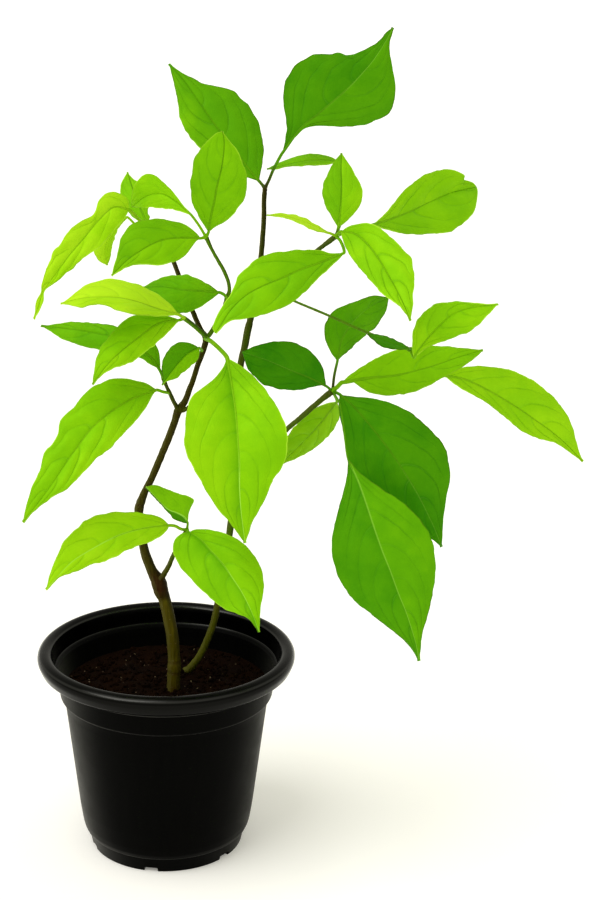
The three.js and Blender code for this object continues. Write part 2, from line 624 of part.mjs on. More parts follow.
    name: "leaf_27_hub_right", colour: "lime", joint: HUB_LOW, seat: 0.3, stalk: [[339, 386, -9]],
    rib: [[347, 380], [368, 378], [390, 376], [426, 367], [456, 357], [482, 350]], depth: [-9, 4, 22],
    left: [[357, 370], [375, 358], [399, 350], [436, 346], [462, 347]],
    right: [[355, 387], [370, 394], [390, 396], [408, 394], [426, 389], [445, 377], [463, 364]],
    lean: [0.5, -0.5], wave: 0.8,
  },
  {
    name: "leaf_28_right_up", colour: "lime", joint: HUB_RIGHT, stalk: [],
    rib: [[414, 357], [420, 348], [438, 327], [455, 313], [475, 307], [498, 304]],
    depth: [-26, -44, -62],
    left: [[412, 346], [414, 331], [418, 319], [426, 310], [438, 303], [451, 302], [475, 303]],
    right: [[424, 350], [435, 344], [452, 337], [469, 331], [480, 322], [489, 312]],
    lean: [0.2, -0.2], wave: 0.6,
  },
  {
    name: "leaf_29_far_right", colour: "lime", joint: HUB_RIGHT, stalk: [[421, 343, 8], [434, 350, 34]],
    rib: [[447, 375], [464, 377], [487, 384], [523, 406], [554, 430], [583, 461]],
    depth: [42, 62, 80],
    left: [[452, 369], [462, 366], [487, 366], [511, 370], [535, 382], [557, 401], [570, 423],
      [577, 441]],
    right: [[452, 382], [462, 389], [474, 395], [499, 412], [516, 427], [535, 437], [554, 442],
      [570, 452]],
    lean: [0.4, -0.4], wave: 0.8,
  },
  {
    name: "leaf_30_right_small", colour: "deep", joint: HUB_RIGHT, seat: 1.6, stalk: [],
    rib: [[408, 349], [396, 344], [384, 341], [367, 334]], depth: [-25, -32, -38],
    left: [[398, 340], [385, 336], [375, 333.5]],
    right: [[399, 348.5], [388, 347], [376, 342]],
    lean: [1.3, -1.3], wave: 0.2,
  },
  {
    name: "leaf_31_hub_back", colour: "lime", joint: HUB_LOW, seat: 2.7, stalk: [],
    rib: [[337, 401], [327, 416], [310, 434], [293, 450], [278, 467]], depth: [2, 28, 52],
    left: [[330, 402], [316, 408], [299, 422], [284, 441], [277, 456]],
    right: [[341, 410], [336, 425], [324, 440], [312, 450], [298, 458], [286, 464]],
    lean: [-0.1, 0.4], wave: 0.5,
  },
  {
    name: "leaf_32_hub_dark", colour: "deep", joint: HUB_LOW, seat: 1.8, stalk: [],
    rib: [[341, 395], [353, 409], [379, 437], [411, 481], [434, 528], [441, 547]],
    depth: [-13, -32, -36],
    left: [[340, 409], [344, 427], [347, 455], [357, 482], [380, 507], [410, 530], [433, 543]],
    right: [[352, 396], [375, 398], [399, 406], [419, 417], [440, 439], [447, 457], [449, 481],
      [445, 498], [443, 522]],
    lean: [0.2, 0.3], wave: 0.9,
  },
  {
    name: "leaf_33_bottom_large", colour: "lime", joint: HUB_LOW,
    stalk: [[337, 403, -20], [342, 427, -32]],
    rib: [[348, 459], [359, 478], [374, 526], [393, 583], [411, 627], [419, 661]],
    depth: [-44, -72, -84],
    left: [[345, 470], [345, 483], [338, 512], [332, 544], [335, 564], [341, 581], [357, 603],
      [379, 619], [406, 642]],
    right: [[356, 470], [379, 487], [407, 506], [426, 528], [434, 548], [435, 568], [433, 583],
      [428, 607], [421, 636]],
    lean: [0.1, 0.2], wave: 0.9,
  },
];

const STATIONS = [0, 0.05, 0.13, 0.24, 0.37, 0.5, 0.63, 0.75, 0.86, 0.94, 1];
const COLUMNS = [-1, -0.5, 0, 0.5, 1];
const WAVES = 2.5;             // ripples along a margin
const WAVE_STARTS = [0.4, 2.2];  // where the ripples of the left and right margins begin, radians
const SLOPE_STEP = 0.02;       // share of the midrib over which its direction is taken
// Section of a stalk at those columns, as shares of its radius: across and above the middle.
const STALK_SECTION = [[-0.9, 0.35], [-0.5, 0.85], [0, 1], [0.5, 0.85], [0.9, 0.35]];

const flatCurve = (points) => new THREE.CatmullRomCurve3(
  points.map(([across, down]) => new THREE.Vector3(across, down, 0)), false, "centripetal");

// A value that runs smoothly through three others, at 0, 1/2 and 1.
function through([start, middle, end], t) {
  return start * (1 - t) * (1 - 2 * t) + middle * 4 * t * (1 - t) + end * t * (2 * t - 1);
}

function bladeGrid(leaf) {
  const [base, tip] = [leaf.rib[0], leaf.rib[leaf.rib.length - 1]];
  const rib = flatCurve(leaf.rib);
  const margins = [leaf.left, leaf.right].map((points) => flatCurve([base, ...points, tip]));
  const ribPlace = (t) => {
    const p = rib.getPointAt(t);
    return at([p.x, p.y, through(leaf.depth, t)]);
  };
  return STATIONS.map((t) => {
    const middle = ribPlace(t);
    const halves = margins.map((margin, side) => {
      const p = margin.getPointAt(t);
      const level = at([p.x, p.y, through(leaf.depth, t)]);
      const reach = level.distanceTo(middle);
      return at([p.x, p.y, through(leaf.depth, t) + leaf.lean[side] * reach]).sub(middle);
    });
    const before = ribPlace(Math.max(0, t - SLOPE_STEP));
    const along = ribPlace(Math.min(1, t + SLOPE_STEP)).sub(before).normalize();
    return { t, middle, halves, along };
  });
}

function leafSolid(leaf) {
  const grid = bladeGrid(leaf);
  const mid = grid[Math.floor(grid.length / 2)];
  const facing = new THREE.Vector3().crossVectors(mid.along, mid.halves[1].clone().sub(mid.halves[0]));
  const turn = facing.dot(EYE.clone().sub(mid.middle)) > 0 ? 1 : -1;
  const rings = [];

  // the stalk, from just clear of the stem to the blade's base
  const joint = at(leaf.joint);
  const first = leaf.stalk.length ? at(leaf.stalk[0]) : grid[0].middle;
  const away = first.clone().sub(joint).normalize();
  const start = joint.clone().addScaledVector(away, (leaf.seat ?? SEATS.get(leaf.joint)) + GAP);
  const stalkCurve = new THREE.CatmullRomCurve3(
    [start, ...leaf.stalk.map(at), grid[0].middle, grid[1].middle], false, "centripetal");
  const stalkSteps = leaf.stalk.length * 2 + 1;
  const end = (leaf.stalk.length + 1) / (leaf.stalk.length + 2);
  const across = grid[1].halves[1].clone().sub(grid[1].halves[0]).normalize();
  for (let i = 0; i < stalkSteps; i += 1) {
    const place = stalkCurve.getPoint((i / stalkSteps) * end);
    const along = stalkCurve.getTangent((i / stalkSteps) * end);
    const side = across.clone().addScaledVector(along, -along.dot(across)).normalize();
    const above = new THREE.Vector3().crossVectors(along, side).multiplyScalar(turn);
    rings.push(stalkRing(place, side, above));
  }

  // the blade, whose two halves close at the tip: that keeps the direction of the station before it
  const widthwise = new THREE.Vector3();
  for (const { t, middle, halves, along } of grid.slice(1)) {
    const top = [];
    const bottom = [];
    if (t < 1) widthwise.subVectors(halves[1], halves[0]).normalize();
    const above = new THREE.Vector3().crossVectors(along, widthwise).normalize().multiplyScalar(turn);
    const narrowest = t < 1 ? BASE_HALF_WIDTH : TIP_HALF_WIDTH;
    for (const column of COLUMNS) {
      const side = column < 0 ? 0 : 1;
      const outward = halves[side].clone();
      if (outward.length() < narrowest) {
        outward.copy(widthwise).multiplyScalar(side === 0 ? -narrowest : narrowest);
      }
      const share = Math.abs(column);
      const place = middle.clone().addScaledVector(outward, share);
      const ripple = leaf.wave * share * share * Math.sin(Math.PI * t)
        * Math.sin(2 * Math.PI * WAVES * t + WAVE_STARTS[side]);
      const swell = 4 * PILLOW * share * (1 - share) * outward.length();
      place.addScaledVector(above, ripple + swell);
      const rib = column === 0 ? RIB_DEPTH * (1 - RIB_TAPER * t) : 0;
      top.push(place.clone().addScaledVector(above, BLADE / 2));
      bottom.push(place.clone().addScaledVector(above, -BLADE / 2 - rib));
    }
    rings.push([...top, ...bottom.reverse()]);
  }
  // both faces of the blade are cut into triangles the same way
  return loft(rings, COLUMNS.length);
}

function stalkRing(place, side, above) {
  const point = ([x, z], sign) => place.clone()
    .addScaledVector(side, x * STALK_RADIUS)
    .addScaledVector(above, sign * z * STALK_RADIUS);
  const top = STALK_SECTION.map((p) => point(p, 1));
  const bottom = STALK_SECTION.map((p) => point(p, -1)).reverse();
  return [...top, ...bottom];
}

// ---------------------------------------------------------------- the plant
const plant = new THREE.Group();

function addPiece(name, geometry, material) {
  const mesh = new THREE.Mesh(geometry, material);
  mesh.name = name;
  plant.add(mesh);
}

addPiece("pot", pot(), MATERIALS.pot());
addPiece("soil", soil([TRUNK_HOLE, SIDE_HOLE]), MATERIALS.soil());
addPiece("main_stem", mainStem(), MATERIALS.bark());
addPiece("side_stem", sideStem(), MATERIALS.bark());
for (const leaf of LEAVES) {
  addPiece(leaf.name, leafSolid(leaf), MATERIALS[leaf.colour]());
}

export default plant;
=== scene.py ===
import math
import random
from contextlib import contextmanager

import bmesh
import bpy
import numpy as np
from mathutils import Euler, Matrix, Vector, noise
from mathutils.kdtree import KDTree


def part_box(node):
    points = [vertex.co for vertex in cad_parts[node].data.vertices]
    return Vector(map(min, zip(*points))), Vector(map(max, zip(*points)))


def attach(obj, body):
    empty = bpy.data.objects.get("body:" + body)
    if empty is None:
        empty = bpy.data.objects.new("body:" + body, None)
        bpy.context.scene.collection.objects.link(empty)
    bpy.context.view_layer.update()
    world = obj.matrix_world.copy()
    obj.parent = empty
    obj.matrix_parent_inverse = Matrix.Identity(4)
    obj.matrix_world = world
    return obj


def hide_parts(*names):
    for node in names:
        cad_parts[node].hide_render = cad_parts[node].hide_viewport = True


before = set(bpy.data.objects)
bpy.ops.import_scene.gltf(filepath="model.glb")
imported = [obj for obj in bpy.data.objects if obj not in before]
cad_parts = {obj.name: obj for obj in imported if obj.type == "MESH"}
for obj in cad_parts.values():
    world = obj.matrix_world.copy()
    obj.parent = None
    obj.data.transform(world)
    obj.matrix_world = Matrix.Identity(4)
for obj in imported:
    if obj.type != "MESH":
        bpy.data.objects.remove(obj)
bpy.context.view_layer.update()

bl_info = {
    "name": "Potted umbrella plant",
    "version": (1, 0, 0),
    "blender": (4, 5, 0),
    "location": "3D View > Sidebar > Plant",
    "description": "Grows a young umbrella plant in its pot, with soil, stems and ribbed leaves",
    "category": "Object",
}

MM = 0.001

# ---------------------------------------------------------------- the view for free forms
# A point is (across, down, depth): across and down in a 600 x 900 picture taken from in front of
# the pot, and depth in millimetres behind (+) or in front of (-) the pot's axis.
VIEW_MIDDLE = (300, 450)
VIEW_FOCAL = 1695
VIEW_EYE = np.array([0.0, -0.930, 0.515])
VIEW_YAW, VIEW_PITCH, VIEW_ROLL = (math.radians(a) for a in (4.69, 16.23, 1.22))


def view_axes():
    """Right, up and ahead of the view, as unit vectors."""
    level = np.array([math.cos(VIEW_YAW), -math.sin(VIEW_YAW), 0])
    flat_ahead = np.array([math.sin(VIEW_YAW), math.cos(VIEW_YAW), 0])
    upright = np.array([0, 0, 1])
    rise = flat_ahead * math.sin(VIEW_PITCH) + upright * math.cos(VIEW_PITCH)
    ahead = flat_ahead * math.cos(VIEW_PITCH) - upright * math.sin(VIEW_PITCH)
    right = level * math.cos(VIEW_ROLL) + rise * math.sin(VIEW_ROLL)
    up = rise * math.cos(VIEW_ROLL) - level * math.sin(VIEW_ROLL)
    return right, up, ahead


RIGHT, UP, AHEAD = view_axes()


def at(across, down, depth):
    """The places, in metres, of points of the view; each argument may be a number or an array."""
    across, down, depth = (np.atleast_1d(np.asarray(a, float)) for a in (across, down, depth))
    ray = (
        AHEAD
        + RIGHT * ((across - VIEW_MIDDLE[0]) / VIEW_FOCAL)[:, None]
        - UP * ((down - VIEW_MIDDLE[1]) / VIEW_FOCAL)[:, None]
    )
    reach = (depth * MM - VIEW_EYE[1]) / ray[:, 1]
    return VIEW_EYE + ray * reach[:, None]


# ---------------------------------------------------------------- joints of the stems
TRUNK_FOOT = (173.5, 694, -8)
FIRST_FORK = (159, 583, -5)
TWIG_END = (187, 530, -24)
ELBOW = (139.2, 508, -3)
SECOND_FORK = (178.3, 410, 0)
INNER_END = (163.5, 379, -12)
THIRD_FORK = (205.8, 338.5, 3)
GREEN_END = (184, 318, -11)
LEFT_END = (150, 232, 36)
RIGHT_END = (206, 237, -6)
LOW_LEFT_SPRIG = (170, 393, -6)
TRUNK_SIDE = (201.8, 350.5, -1)
DARK_LEAF_JOINT = (227, 298, 1)
SIDE_FOOT = (185, 676, 18)
TOP_FORK = (265, 188, 22)
LOW_BRANCH_START = (238, 468, 16)
HUB_LOW = (332.5, 391, -8)
MID_BRANCH_START = (255, 294, 18)
HUB_HIGH = (336, 236, -14)
HUB_RIGHT = (411, 350, -20)

# radii where the stems enter the soil, and how deep they are set in it, in mm
TRUNK_RADIUS = 4.1
SIDE_STEM_RADIUS = 2.2
ROOT_DEPTH = 30

# Each limb: how green its bark is, from 0, woody, to 1, young, at its start and at its end, and its
# points with a radius in mm.
MAIN_LIMBS = [
    (0.0, 0.0, [
        (173.9, 677, -8, 3.9), (174.3, 667, -8, 4.1), (174, 657, -7, 3.65), (172.8, 640, -7, 3.6),
        (168.8, 617, -6, 3.6), (164, 598, -5, 3.7), (161.5, 592, -5, 4.2), (*FIRST_FORK, 4.6),
        (152.2, 571, -5, 3.1), (146.1, 556, -4, 2.85), (142.3, 540, -4, 2.5),
        (139.4, 521, -3, 2.5), (*ELBOW, 2.85), (141.6, 500, -3, 2.5), (146, 489, -3, 2.05),
        (150.9, 480, -2, 2.05), (157.8, 464, -2, 2.1), (164.5, 448, -1, 2.1),
        (170.9, 432, -1, 2.15), (175.9, 418, -1, 2.15), (*SECOND_FORK, 2.5),
        (184.6, 402, 0, 1.9), (189.3, 390, 0, 1.7), (193.8, 378, 1, 1.6),
        (197.4, 366, 2, 1.6), (201.8, 354.5, 2.5, 1.6), (*THIRD_FORK, 1.9), (201, 330, 6, 1.5),
        (196.4, 320, 9, 1.5), (192.6, 311, 12, 1.5), (185, 292, 17, 1.4), (178.3, 274, 22, 1.4),
        (173.7, 262, 27, 1.35), (168, 250, 31, 1.25), (160, 240, 34, 1.2), (*LEFT_END, 1.6),
    ]),
    (0.75, 0.85, [
        (*THIRD_FORK, 1.5), (210, 334, 3, 1.4), (215, 325.5, 2, 1.25), (223, 311, 2, 1.2),
        (*DARK_LEAF_JOINT, 1.5), (229.3, 291, 0, 1.1), (228.8, 284, 0, 1.1),
        (226.2, 276, -1, 1.1), (222.6, 268.3, -2, 1.1), (217, 258.8, -3, 1.05),
        (211.3, 248.3, -4, 1), (*RIGHT_END, 1.5),
    ]),
    (0.1, 0.3, [
        (*SECOND_FORK, 1.5), (175, 404, -3, 1.25), (172, 398, -5, 1.25), (169.3, 392, -7, 1.2),
        (166.6, 386.5, -9, 1.1), (*INNER_END, 1.3),
    ]),
    (1.0, 1.0, [
        (205.6, 336, -1, 1.35), (202.6, 333.4, -3, 1.35), (193.6, 325.4, -7, 1.3),
        (*GREEN_END, 1.45),
    ]),
    (0.0, 0.5, [
        (*FIRST_FORK, 1.8), (165.3, 572, -12, 1.6), (168.3, 567, -14, 1.5), (173, 556, -18, 1.3),
        (179, 544, -21, 1.2), (*TWIG_END, 1.6),
    ]),
    (0.05, 0.2, [
        (*SECOND_FORK, 1.3), (183, 411, -1, 1.05), (186.5, 409, -2, 1), (188.6, 405.6, -3, 0.7),
    ]),
]
SIDE_LIMBS = [
    (0.75, 0.0, [
        (188, 670, 17, 2.3), (192.5, 665.5, 16, 2.3), (199.5, 656, 15, 2.15), (208, 638, 15, 2.1),
        (214.3, 620, 15, 2.05), (217.6, 603, 15, 2), (220.5, 588, 15, 2), (226.5, 556, 16, 2),
        (230.8, 523, 16, 2.1), (234.3, 495, 16, 2), (*LOW_BRANCH_START, 2.1), (239, 430, 16, 1.9),
        (239.8, 395, 17, 1.9), (240.9, 363, 17, 1.95), (244.8, 346, 17, 2.05),
        (247.5, 332, 17, 2.1), (250.3, 319.5, 18, 2.05), (*MID_BRANCH_START, 2),
        (259.5, 270, 19, 1.7), (262.4, 241, 20, 1.5), (264, 215, 21, 1.45), (264, 200, 22, 1.4),
        (*TOP_FORK, 1.5),
    ]),
    (0.5, 0.35, [
        (*LOW_BRANCH_START, 1.5), (263, 452, 10, 1.5), (290.5, 426, 3, 1.5), (298, 419.9, 1, 1.5),
        (305, 413.9, -1, 1.6), (311.5, 408, -3, 1.6), (318, 402.6, -5, 1.6), (323.5, 398, -6, 1.7),
        (*HUB_LOW, 2.2),
    ]),
    (0.3, 0.3, [
        (*MID_BRANCH_START, 1.4), (285, 273, 6, 1.3), (319.5, 248.6, -7, 1.25), (*HUB_HIGH, 1.7),
    ]),
    (0.9, 0.9, [
        (*MID_BRANCH_START, 0.9), (275, 293.5, 11, 0.8), (301, 304, 3, 0.8), (333, 317.4, -6, 0.8),
        (366, 332, -12, 0.8), (390, 341, -16, 0.85), (*HUB_RIGHT, 1.4),
    ]),
]

# ---------------------------------------------------------------- leaves
# Each leaf has its joint on a stem, the points of its stalk, and the outline of its midrib and of
# its left and right margins across and down. depth is at its base, middle and tip, lean how much
# further back each margin lies for a mm of width, and wave how high its margin ripples, in mm.
# tone runs from 0, deep green, to 1, pale lime, and halves says how much lighter or deeper the left
# and right half are painted, as painted light and shade on halves that face towards or away from
# the light, and rib_shade how much more painted shade lies next to the midrib. rib_light says how
# much lighter or darker the midrib is than the blade, woody how far up the stalk the brown bark
# reaches, in mm, and stout how much thicker the stalk is than the usual one.
LEAVES = [
    dict(
        node="leaf_01_top_right", slot="leaf_green", tone=0.175, halves=(-0.03, 0.03),
        rib_shade=(-0.05, 0.0), rib_light=0.2, wave=0.6, lean=(0.1, 0.15), joint=TOP_FORK, woody=14,
        stalk=[(269, 180, 21.5), (273, 170.5, 21)], depth=(21, 36, 48),
        rib=[(282, 153.5), (301.5, 127.5), (320, 112.5), (337, 98), (350, 86.5), (363, 72.5),
             (372, 62), (381, 49), (387, 39), (393, 27.5)],
        left=[(285, 141.5), (286.7, 128), (285.3, 115), (283.8, 103), (283.7, 93), (284.8, 85),
              (287.8, 76.5), (296, 65), (306, 58.5), (315, 54.6), (325, 54.3), (330.5, 54.6),
              (336.7, 53), (341.7, 53.3), (345.5, 55.3), (352, 54.8), (363.5, 50.4), (373.5, 45),
              (381, 39), (387, 31.7)],
        right=[(288.5, 144.8), (295, 137.3), (301.7, 130), (307, 127), (315, 125.8), (325, 125.9),
               (337, 126.8), (351.7, 126.4), (363.3, 124.5), (373.5, 121.6), (385, 115.8),
               (390.3, 111.3), (393.3, 103.3), (394.8, 95), (395, 85), (393.4, 75), (391.3, 63.3),
               (389.2, 50), (389.8, 41.7), (392.2, 33.3)],
    ),
    dict(
        node="leaf_02_top_left", slot="leaf_green", tone=0.35, halves=(0.09, -0.07),
        rib_shade=(-0.18, 0.03), rib_light=-0.12, wave=0.5, lean=(-0.4, 0.5), joint=TOP_FORK, woody=6,
        stalk=[], depth=(24, 38, 55),
        rib=[(259, 181), (250, 170.5), (235, 150.5), (217.5, 128), (201.5, 105.5), (187, 84.5),
             (178, 73.5), (169, 63.8)],
        left=[(249, 178), (237, 172.5), (214, 160), (199.5, 148), (192.8, 140.5), (185.2, 129.5),
              (181.7, 122), (179.3, 113.6), (178.2, 103.6), (175.7, 92), (172.6, 78)],
        right=[(260.6, 172), (262.5, 160), (263.8, 150), (261.6, 136.5), (257.6, 122), (253, 113.5),
               (244, 101), (235.2, 92.6), (225, 88.2), (213, 86.2), (204, 84.2), (191.5, 78.2),
               (180, 71.6)],
    ),
    dict(
        node="leaf_03_centre_up", slot="leaf_lime", tone=0.49, halves=(-0.02, 0.03),
        rib_light=-0.45, wave=0.4, lean=(0.2, 0.2), joint=RIGHT_END, stalk=[], depth=(-7, -24, -30),
        rib=[(208.6, 232), (211.2, 215), (214.6, 200), (217.2, 186), (220.2, 174), (222.6, 162),
             (224, 150), (224, 140), (222.3, 131.3)],
        left=[(205.5, 227), (201.6, 221), (197.8, 213.5), (194, 207), (191.8, 199), (190.6, 191),
              (190.8, 182), (191.7, 174), (193, 165), (195.7, 156.5), (199.8, 149), (205, 143.5),
              (211, 138), (217.5, 132.8)],
        right=[(210, 231), (214, 227.3), (222, 223), (229.2, 218.3), (235.2, 212), (240.2, 205),
               (244, 198), (246.2, 190), (247, 182), (246.6, 173), (244, 166), (240.6, 158.5),
               (237, 150), (232, 144), (228, 139)],
    ),
    dict(
        node="leaf_04_left_light", slot="leaf_lime", tone=0.66, halves=(0.0, -0.05), rib_light=-0.1,
        wave=0.4, lean=(0.35, -0.4), joint=RIGHT_END, stalk=[(199, 225.5, -4)], depth=(-3, 10, 28),
        rib=[(191.5, 215.3), (178, 203), (162, 194), (147, 196), (132, 207)],
        left=[(186, 208.8), (180, 201), (174, 193.8), (167.5, 186.3), (160, 179), (154, 175.3),
              (147.5, 174.2), (142, 176.3), (137, 181), (133.3, 190), (131.8, 199)],
        right=[(186, 213.2), (180, 211.3), (170, 209.3), (160, 208), (150, 207.5), (140, 208)],
    ),
    dict(
        node="leaf_05_left_upright", slot="leaf_green", tone=0.54, halves=(0.0, 0.05),
        rib_light=-0.4, wave=0.3, lean=(0.2, 0.4), joint=LEFT_END, stalk=[], depth=(39, 50, 62),
        rib=[(147, 223), (142, 212), (134, 192), (127.4, 172)],
        left=[(136, 219.5), (126, 207), (120.5, 194), (122.3, 182)],
        right=[(150, 217), (147.5, 213.5), (151, 200), (147, 188), (132.5, 178.5)],
    ),
    dict(
        node="leaf_06_left_drooping", slot="leaf_yellow", tone=0.86, halves=(0.03, -0.04),
        rib_light=-0.1, wave=0.3, lean=(0.35, -0.35), joint=LEFT_END, stalk=[(140, 221, 29)],
        depth=(23, 6, -18),
        rib=[(129, 210), (114, 207), (98, 221), (84, 238), (66, 260), (48, 285), (42.4, 293),
             (39.5, 303), (34, 319)],
        left=[(129, 203), (126.3, 197.5), (120, 193.8), (111.3, 191.9), (102.5, 196.3), (98, 202.5),
              (96.6, 208.8), (94, 213.8), (87.5, 218.6), (78.8, 223), (72.5, 227.3), (65, 236.3),
              (58.8, 246.5), (53.4, 251.9), (50.4, 260), (46.2, 270), (43, 278.8), (41.2, 286.3),
              (41.4, 292.8), (37.5, 298.5), (35.6, 305), (34.8, 311.5)],
        right=[(125, 217.5), (121, 223), (115, 229.4), (110, 235), (105, 241.3), (100, 246.5),
               (93, 251.5), (85, 256.8), (75, 265.6), (65, 274.4), (57.5, 280.6), (51.9, 285.3),
               (46, 288.6), (43.6, 292.8), (43.6, 300), (42.3, 305), (39.2, 311.3)],
    ),
    dict(
        node="leaf_07_left_pointed", slot="leaf_green", tone=0.89, halves=(0.0, -0.06), rib_light=0,
        wave=0.3, lean=(0.4, 0.4), joint=LEFT_END, stalk=[(140, 229, 42)], depth=(44, 56, 64),
        rib=[(127, 217), (114, 231), (105, 248), (107.3, 265.4)],
        left=[(111, 222), (99, 236), (94, 249), (98, 259.5)],
        right=[(123, 222), (118, 229), (113, 243), (111.3, 250), (110, 258)],
    ),
    dict(
        node="leaf_08_left_middle", slot="leaf_lime", tone=0.52, halves=(-0.05, 0.05),
        rib_light=-0.3, wave=0.5, lean=(0.5, -0.4), joint=RIGHT_END, stalk=[], depth=(-8, -24, -44),
        rib=[(200.5, 238.3), (182, 238), (163, 240), (149, 246), (129, 259), (111.8, 275.4)],
        left=[(195.5, 232.5), (188.6, 227.2), (181.4, 223.5), (170, 220.4), (157, 219.2),
              (145.7, 219.8), (135.7, 223.3), (127.6, 228.2), (121.8, 237), (118.8, 247),
              (116.9, 257), (113.6, 267)],
        right=[(196, 241.5), (191.4, 247), (185.7, 254.3), (180, 258.6), (171.4, 262),
               (158.6, 264.2), (146, 264.3), (134.3, 265), (123, 269.3), (115.7, 274)],
    ),
    dict(
        node="leaf_09_left_shaded", slot="leaf_green", tone=0.4, halves=(0.0, 0.0), rib_light=-0.12,
        wave=0.3, lean=(0.5, -0.2), joint=DARK_LEAF_JOINT, stout=1.15, stalk=[(223.8, 294.5, -1.5)],
        depth=(0, 4, 26),
        rib=[(219.8, 292.5), (202, 291), (183, 290), (163, 287), (142.8, 287.3)],
        left=[(211.4, 286.4), (200, 280), (191.4, 276.4), (181.4, 275), (171.4, 275.3),
              (163, 277.8), (154.3, 281.2)],
        right=[(214.3, 297), (206, 303), (199, 307.4), (191.5, 311.3), (184, 312.8), (172, 311),
               (158, 299)],
    ),
    dict(
        node="leaf_10_left_yellow", slot="leaf_yellow", tone=1.0, halves=(0.0, -0.06),
        rib_light=-0.12, wave=0.2, lean=(1.2, -1.4), joint=GREEN_END, stout=1.1, stalk=[],
        depth=(-15, -20, -24),
        rib=[(178, 314.3), (158, 309), (138, 302), (120, 298), (100, 297), (84, 298),
             (60.5, 303.5)],
        left=[(170, 304.2), (160, 296.7), (150, 290), (140, 285.8), (130, 283), (119, 280),
              (110, 279.4), (96.7, 281.2), (85, 286.2), (75, 293.3), (68, 299.4)],
        right=[(173, 315.3), (160, 316), (143.3, 315), (131.7, 314.2), (118.3, 310), (105, 305.2),
               (90, 305.2), (83, 307.6), (71.7, 305.4)],
    ),
    dict(
        node="leaf_11_left_folded", slot="leaf_lime", tone=0.63, halves=(-0.03, 0.03),
        rib_light=-0.3, wave=0.4, lean=(0.7, -0.3), joint=GREEN_END, stalk=[],
        depth=(-12, -21, -44),
        rib=[(180, 320), (160, 323), (134, 341), (110, 362), (92.6, 384.2)],
        left=[(168.3, 316.5), (150, 315.5), (133.3, 316.2), (124, 321.5), (116.5, 328.3),
              (108.3, 338.3), (101.5, 346), (98, 353.5), (95.6, 363.3), (93.2, 376.7)],
        right=[(175, 325.2), (168.3, 331.8), (161.7, 338.4), (153.3, 346), (143.3, 353.5),
               (135, 359.6), (126.7, 363.8), (113.3, 369), (103.3, 374), (96, 380.6)],
    ),
    dict(
        node="leaf_12_left_dark", slot="leaf_green", tone=0.4, halves=(0.0, 0.0), rib_light=-0.1,
        wave=0.3, lean=(0.4, -0.3), joint=INNER_END, stalk=[], depth=(-7, 10, 34),
        rib=[(160.3, 371), (152, 358), (138, 347), (120, 339), (90, 332), (65, 328.5), (41, 325.8)],
        left=[(160.2, 363), (159, 353.3), (155.8, 345.8), (147, 337.5), (134, 331), (118, 327.3),
              (110, 325.4), (95.7, 322.9), (81.4, 322.1), (65.7, 322.9), (52, 325)],
        right=[(157, 367.8), (150, 364.2), (141.7, 358.6), (128, 355), (112, 351.5), (98.6, 349),
               (90, 347), (77, 344.8), (67, 340.7), (60, 337.8), (51.4, 331.6)],
    ),
    dict(
        node="leaf_13_inner_small", slot="leaf_green", tone=0.44, halves=(-0.14, 0.16),
        rib_light=-0.15, wave=0.2, lean=(0.2, -0.2), joint=TRUNK_SIDE, stalk=[],
        depth=(-6, -14, -23),
        rib=[(199, 347.8), (188, 353.5), (177, 365), (169, 375.5), (162.2, 385)],
        left=[(192.5, 344), (183.3, 342.2), (176.5, 343.4), (167.6, 351.7), (163, 360), (162, 369),
              (162.8, 377.5)],
        right=[(199.3, 352), (198, 358.6), (191.7, 365.2), (184.2, 371.8), (178.2, 376.8),
               (170.5, 380.2), (166, 381.8)],
    ),
    dict(
        node="leaf_14_left_large", slot="leaf_lime", tone=0.64, halves=(-0.05, 0.06),
        rib_shade=(0.0, -0.12), rib_light=-0.1, wave=0.3, lean=(0.55, -0.45), joint=LOW_LEFT_SPRIG,
        stalk=[(163, 391.8, -11)], depth=(-12, -42, -78),
        rib=[(156.5, 390), (130, 400), (96, 424), (73, 453), (48, 490), (23, 522)],
        left=[(146, 383.3), (134, 380.3), (115, 378.2), (101, 383.3), (86.5, 392), (76.3, 405),
              (61.5, 419), (57.3, 436), (43.6, 455), (40.3, 471), (32, 487.5), (26.3, 506)],
        right=[(153.5, 394), (150, 400), (146, 408), (135, 421), (122, 436), (110, 449), (96, 458),
               (86, 469), (74, 481.3), (66, 489.2), (57, 494.6), (44, 503), (32, 513)],
    ),
    dict(
        node="leaf_15_low_small", slot="leaf_green", tone=0.48, halves=(0.06, -0.36), rib_light=0.7,
        wave=0.2, lean=(0.5, -0.3), joint=TWIG_END, stalk=[], depth=(-26, -33, -38),
        rib=[(187.6, 522.4), (183.4, 516.4), (176, 512.4), (168.6, 509.8), (160.5, 502.6),
             (146, 487)],
        left=[(188.2, 514), (190.2, 508.5), (194, 500.5), (190.5, 497.2), (179, 493.4), (170, 490),
              (162, 487.4), (154, 485.4)],
        right=[(186.2, 523), (181, 521.4), (173.4, 518.6), (169.6, 513.6), (164, 507.4),
               (157, 500.4), (150, 492)],
    ),
    dict(
        node="leaf_16_low_left", slot="leaf_lime", tone=0.78, halves=(-0.02, 0.02), rib_light=0.5,
        wave=0.4, lean=(0.6, -0.5), joint=TWIG_END, stalk=[(181, 529, -27), (175, 526, -29)],
        depth=(-30, -56, -82),
        rib=[(169.3, 525.4), (146, 528), (120, 535), (94, 548), (72, 562), (46, 589.5)],
        left=[(161, 518), (150, 514.8), (136, 512.5), (121, 511.5), (108, 513.5), (92, 518),
              (82, 523.5), (77, 528.3), (71, 532.8), (66, 539), (62.6, 544), (58, 554), (51.2, 570),
              (47, 586)],
        right=[(167, 530), (162, 535), (154, 540), (142, 544.4), (130, 549), (116, 556.4),
               (100, 562.4), (85, 567), (74, 572.4), (60, 577), (53, 582)],
    ),
    dict(
        node="leaf_17_low_right", slot="leaf_lime", tone=0.55, halves=(0.0, 0.0),
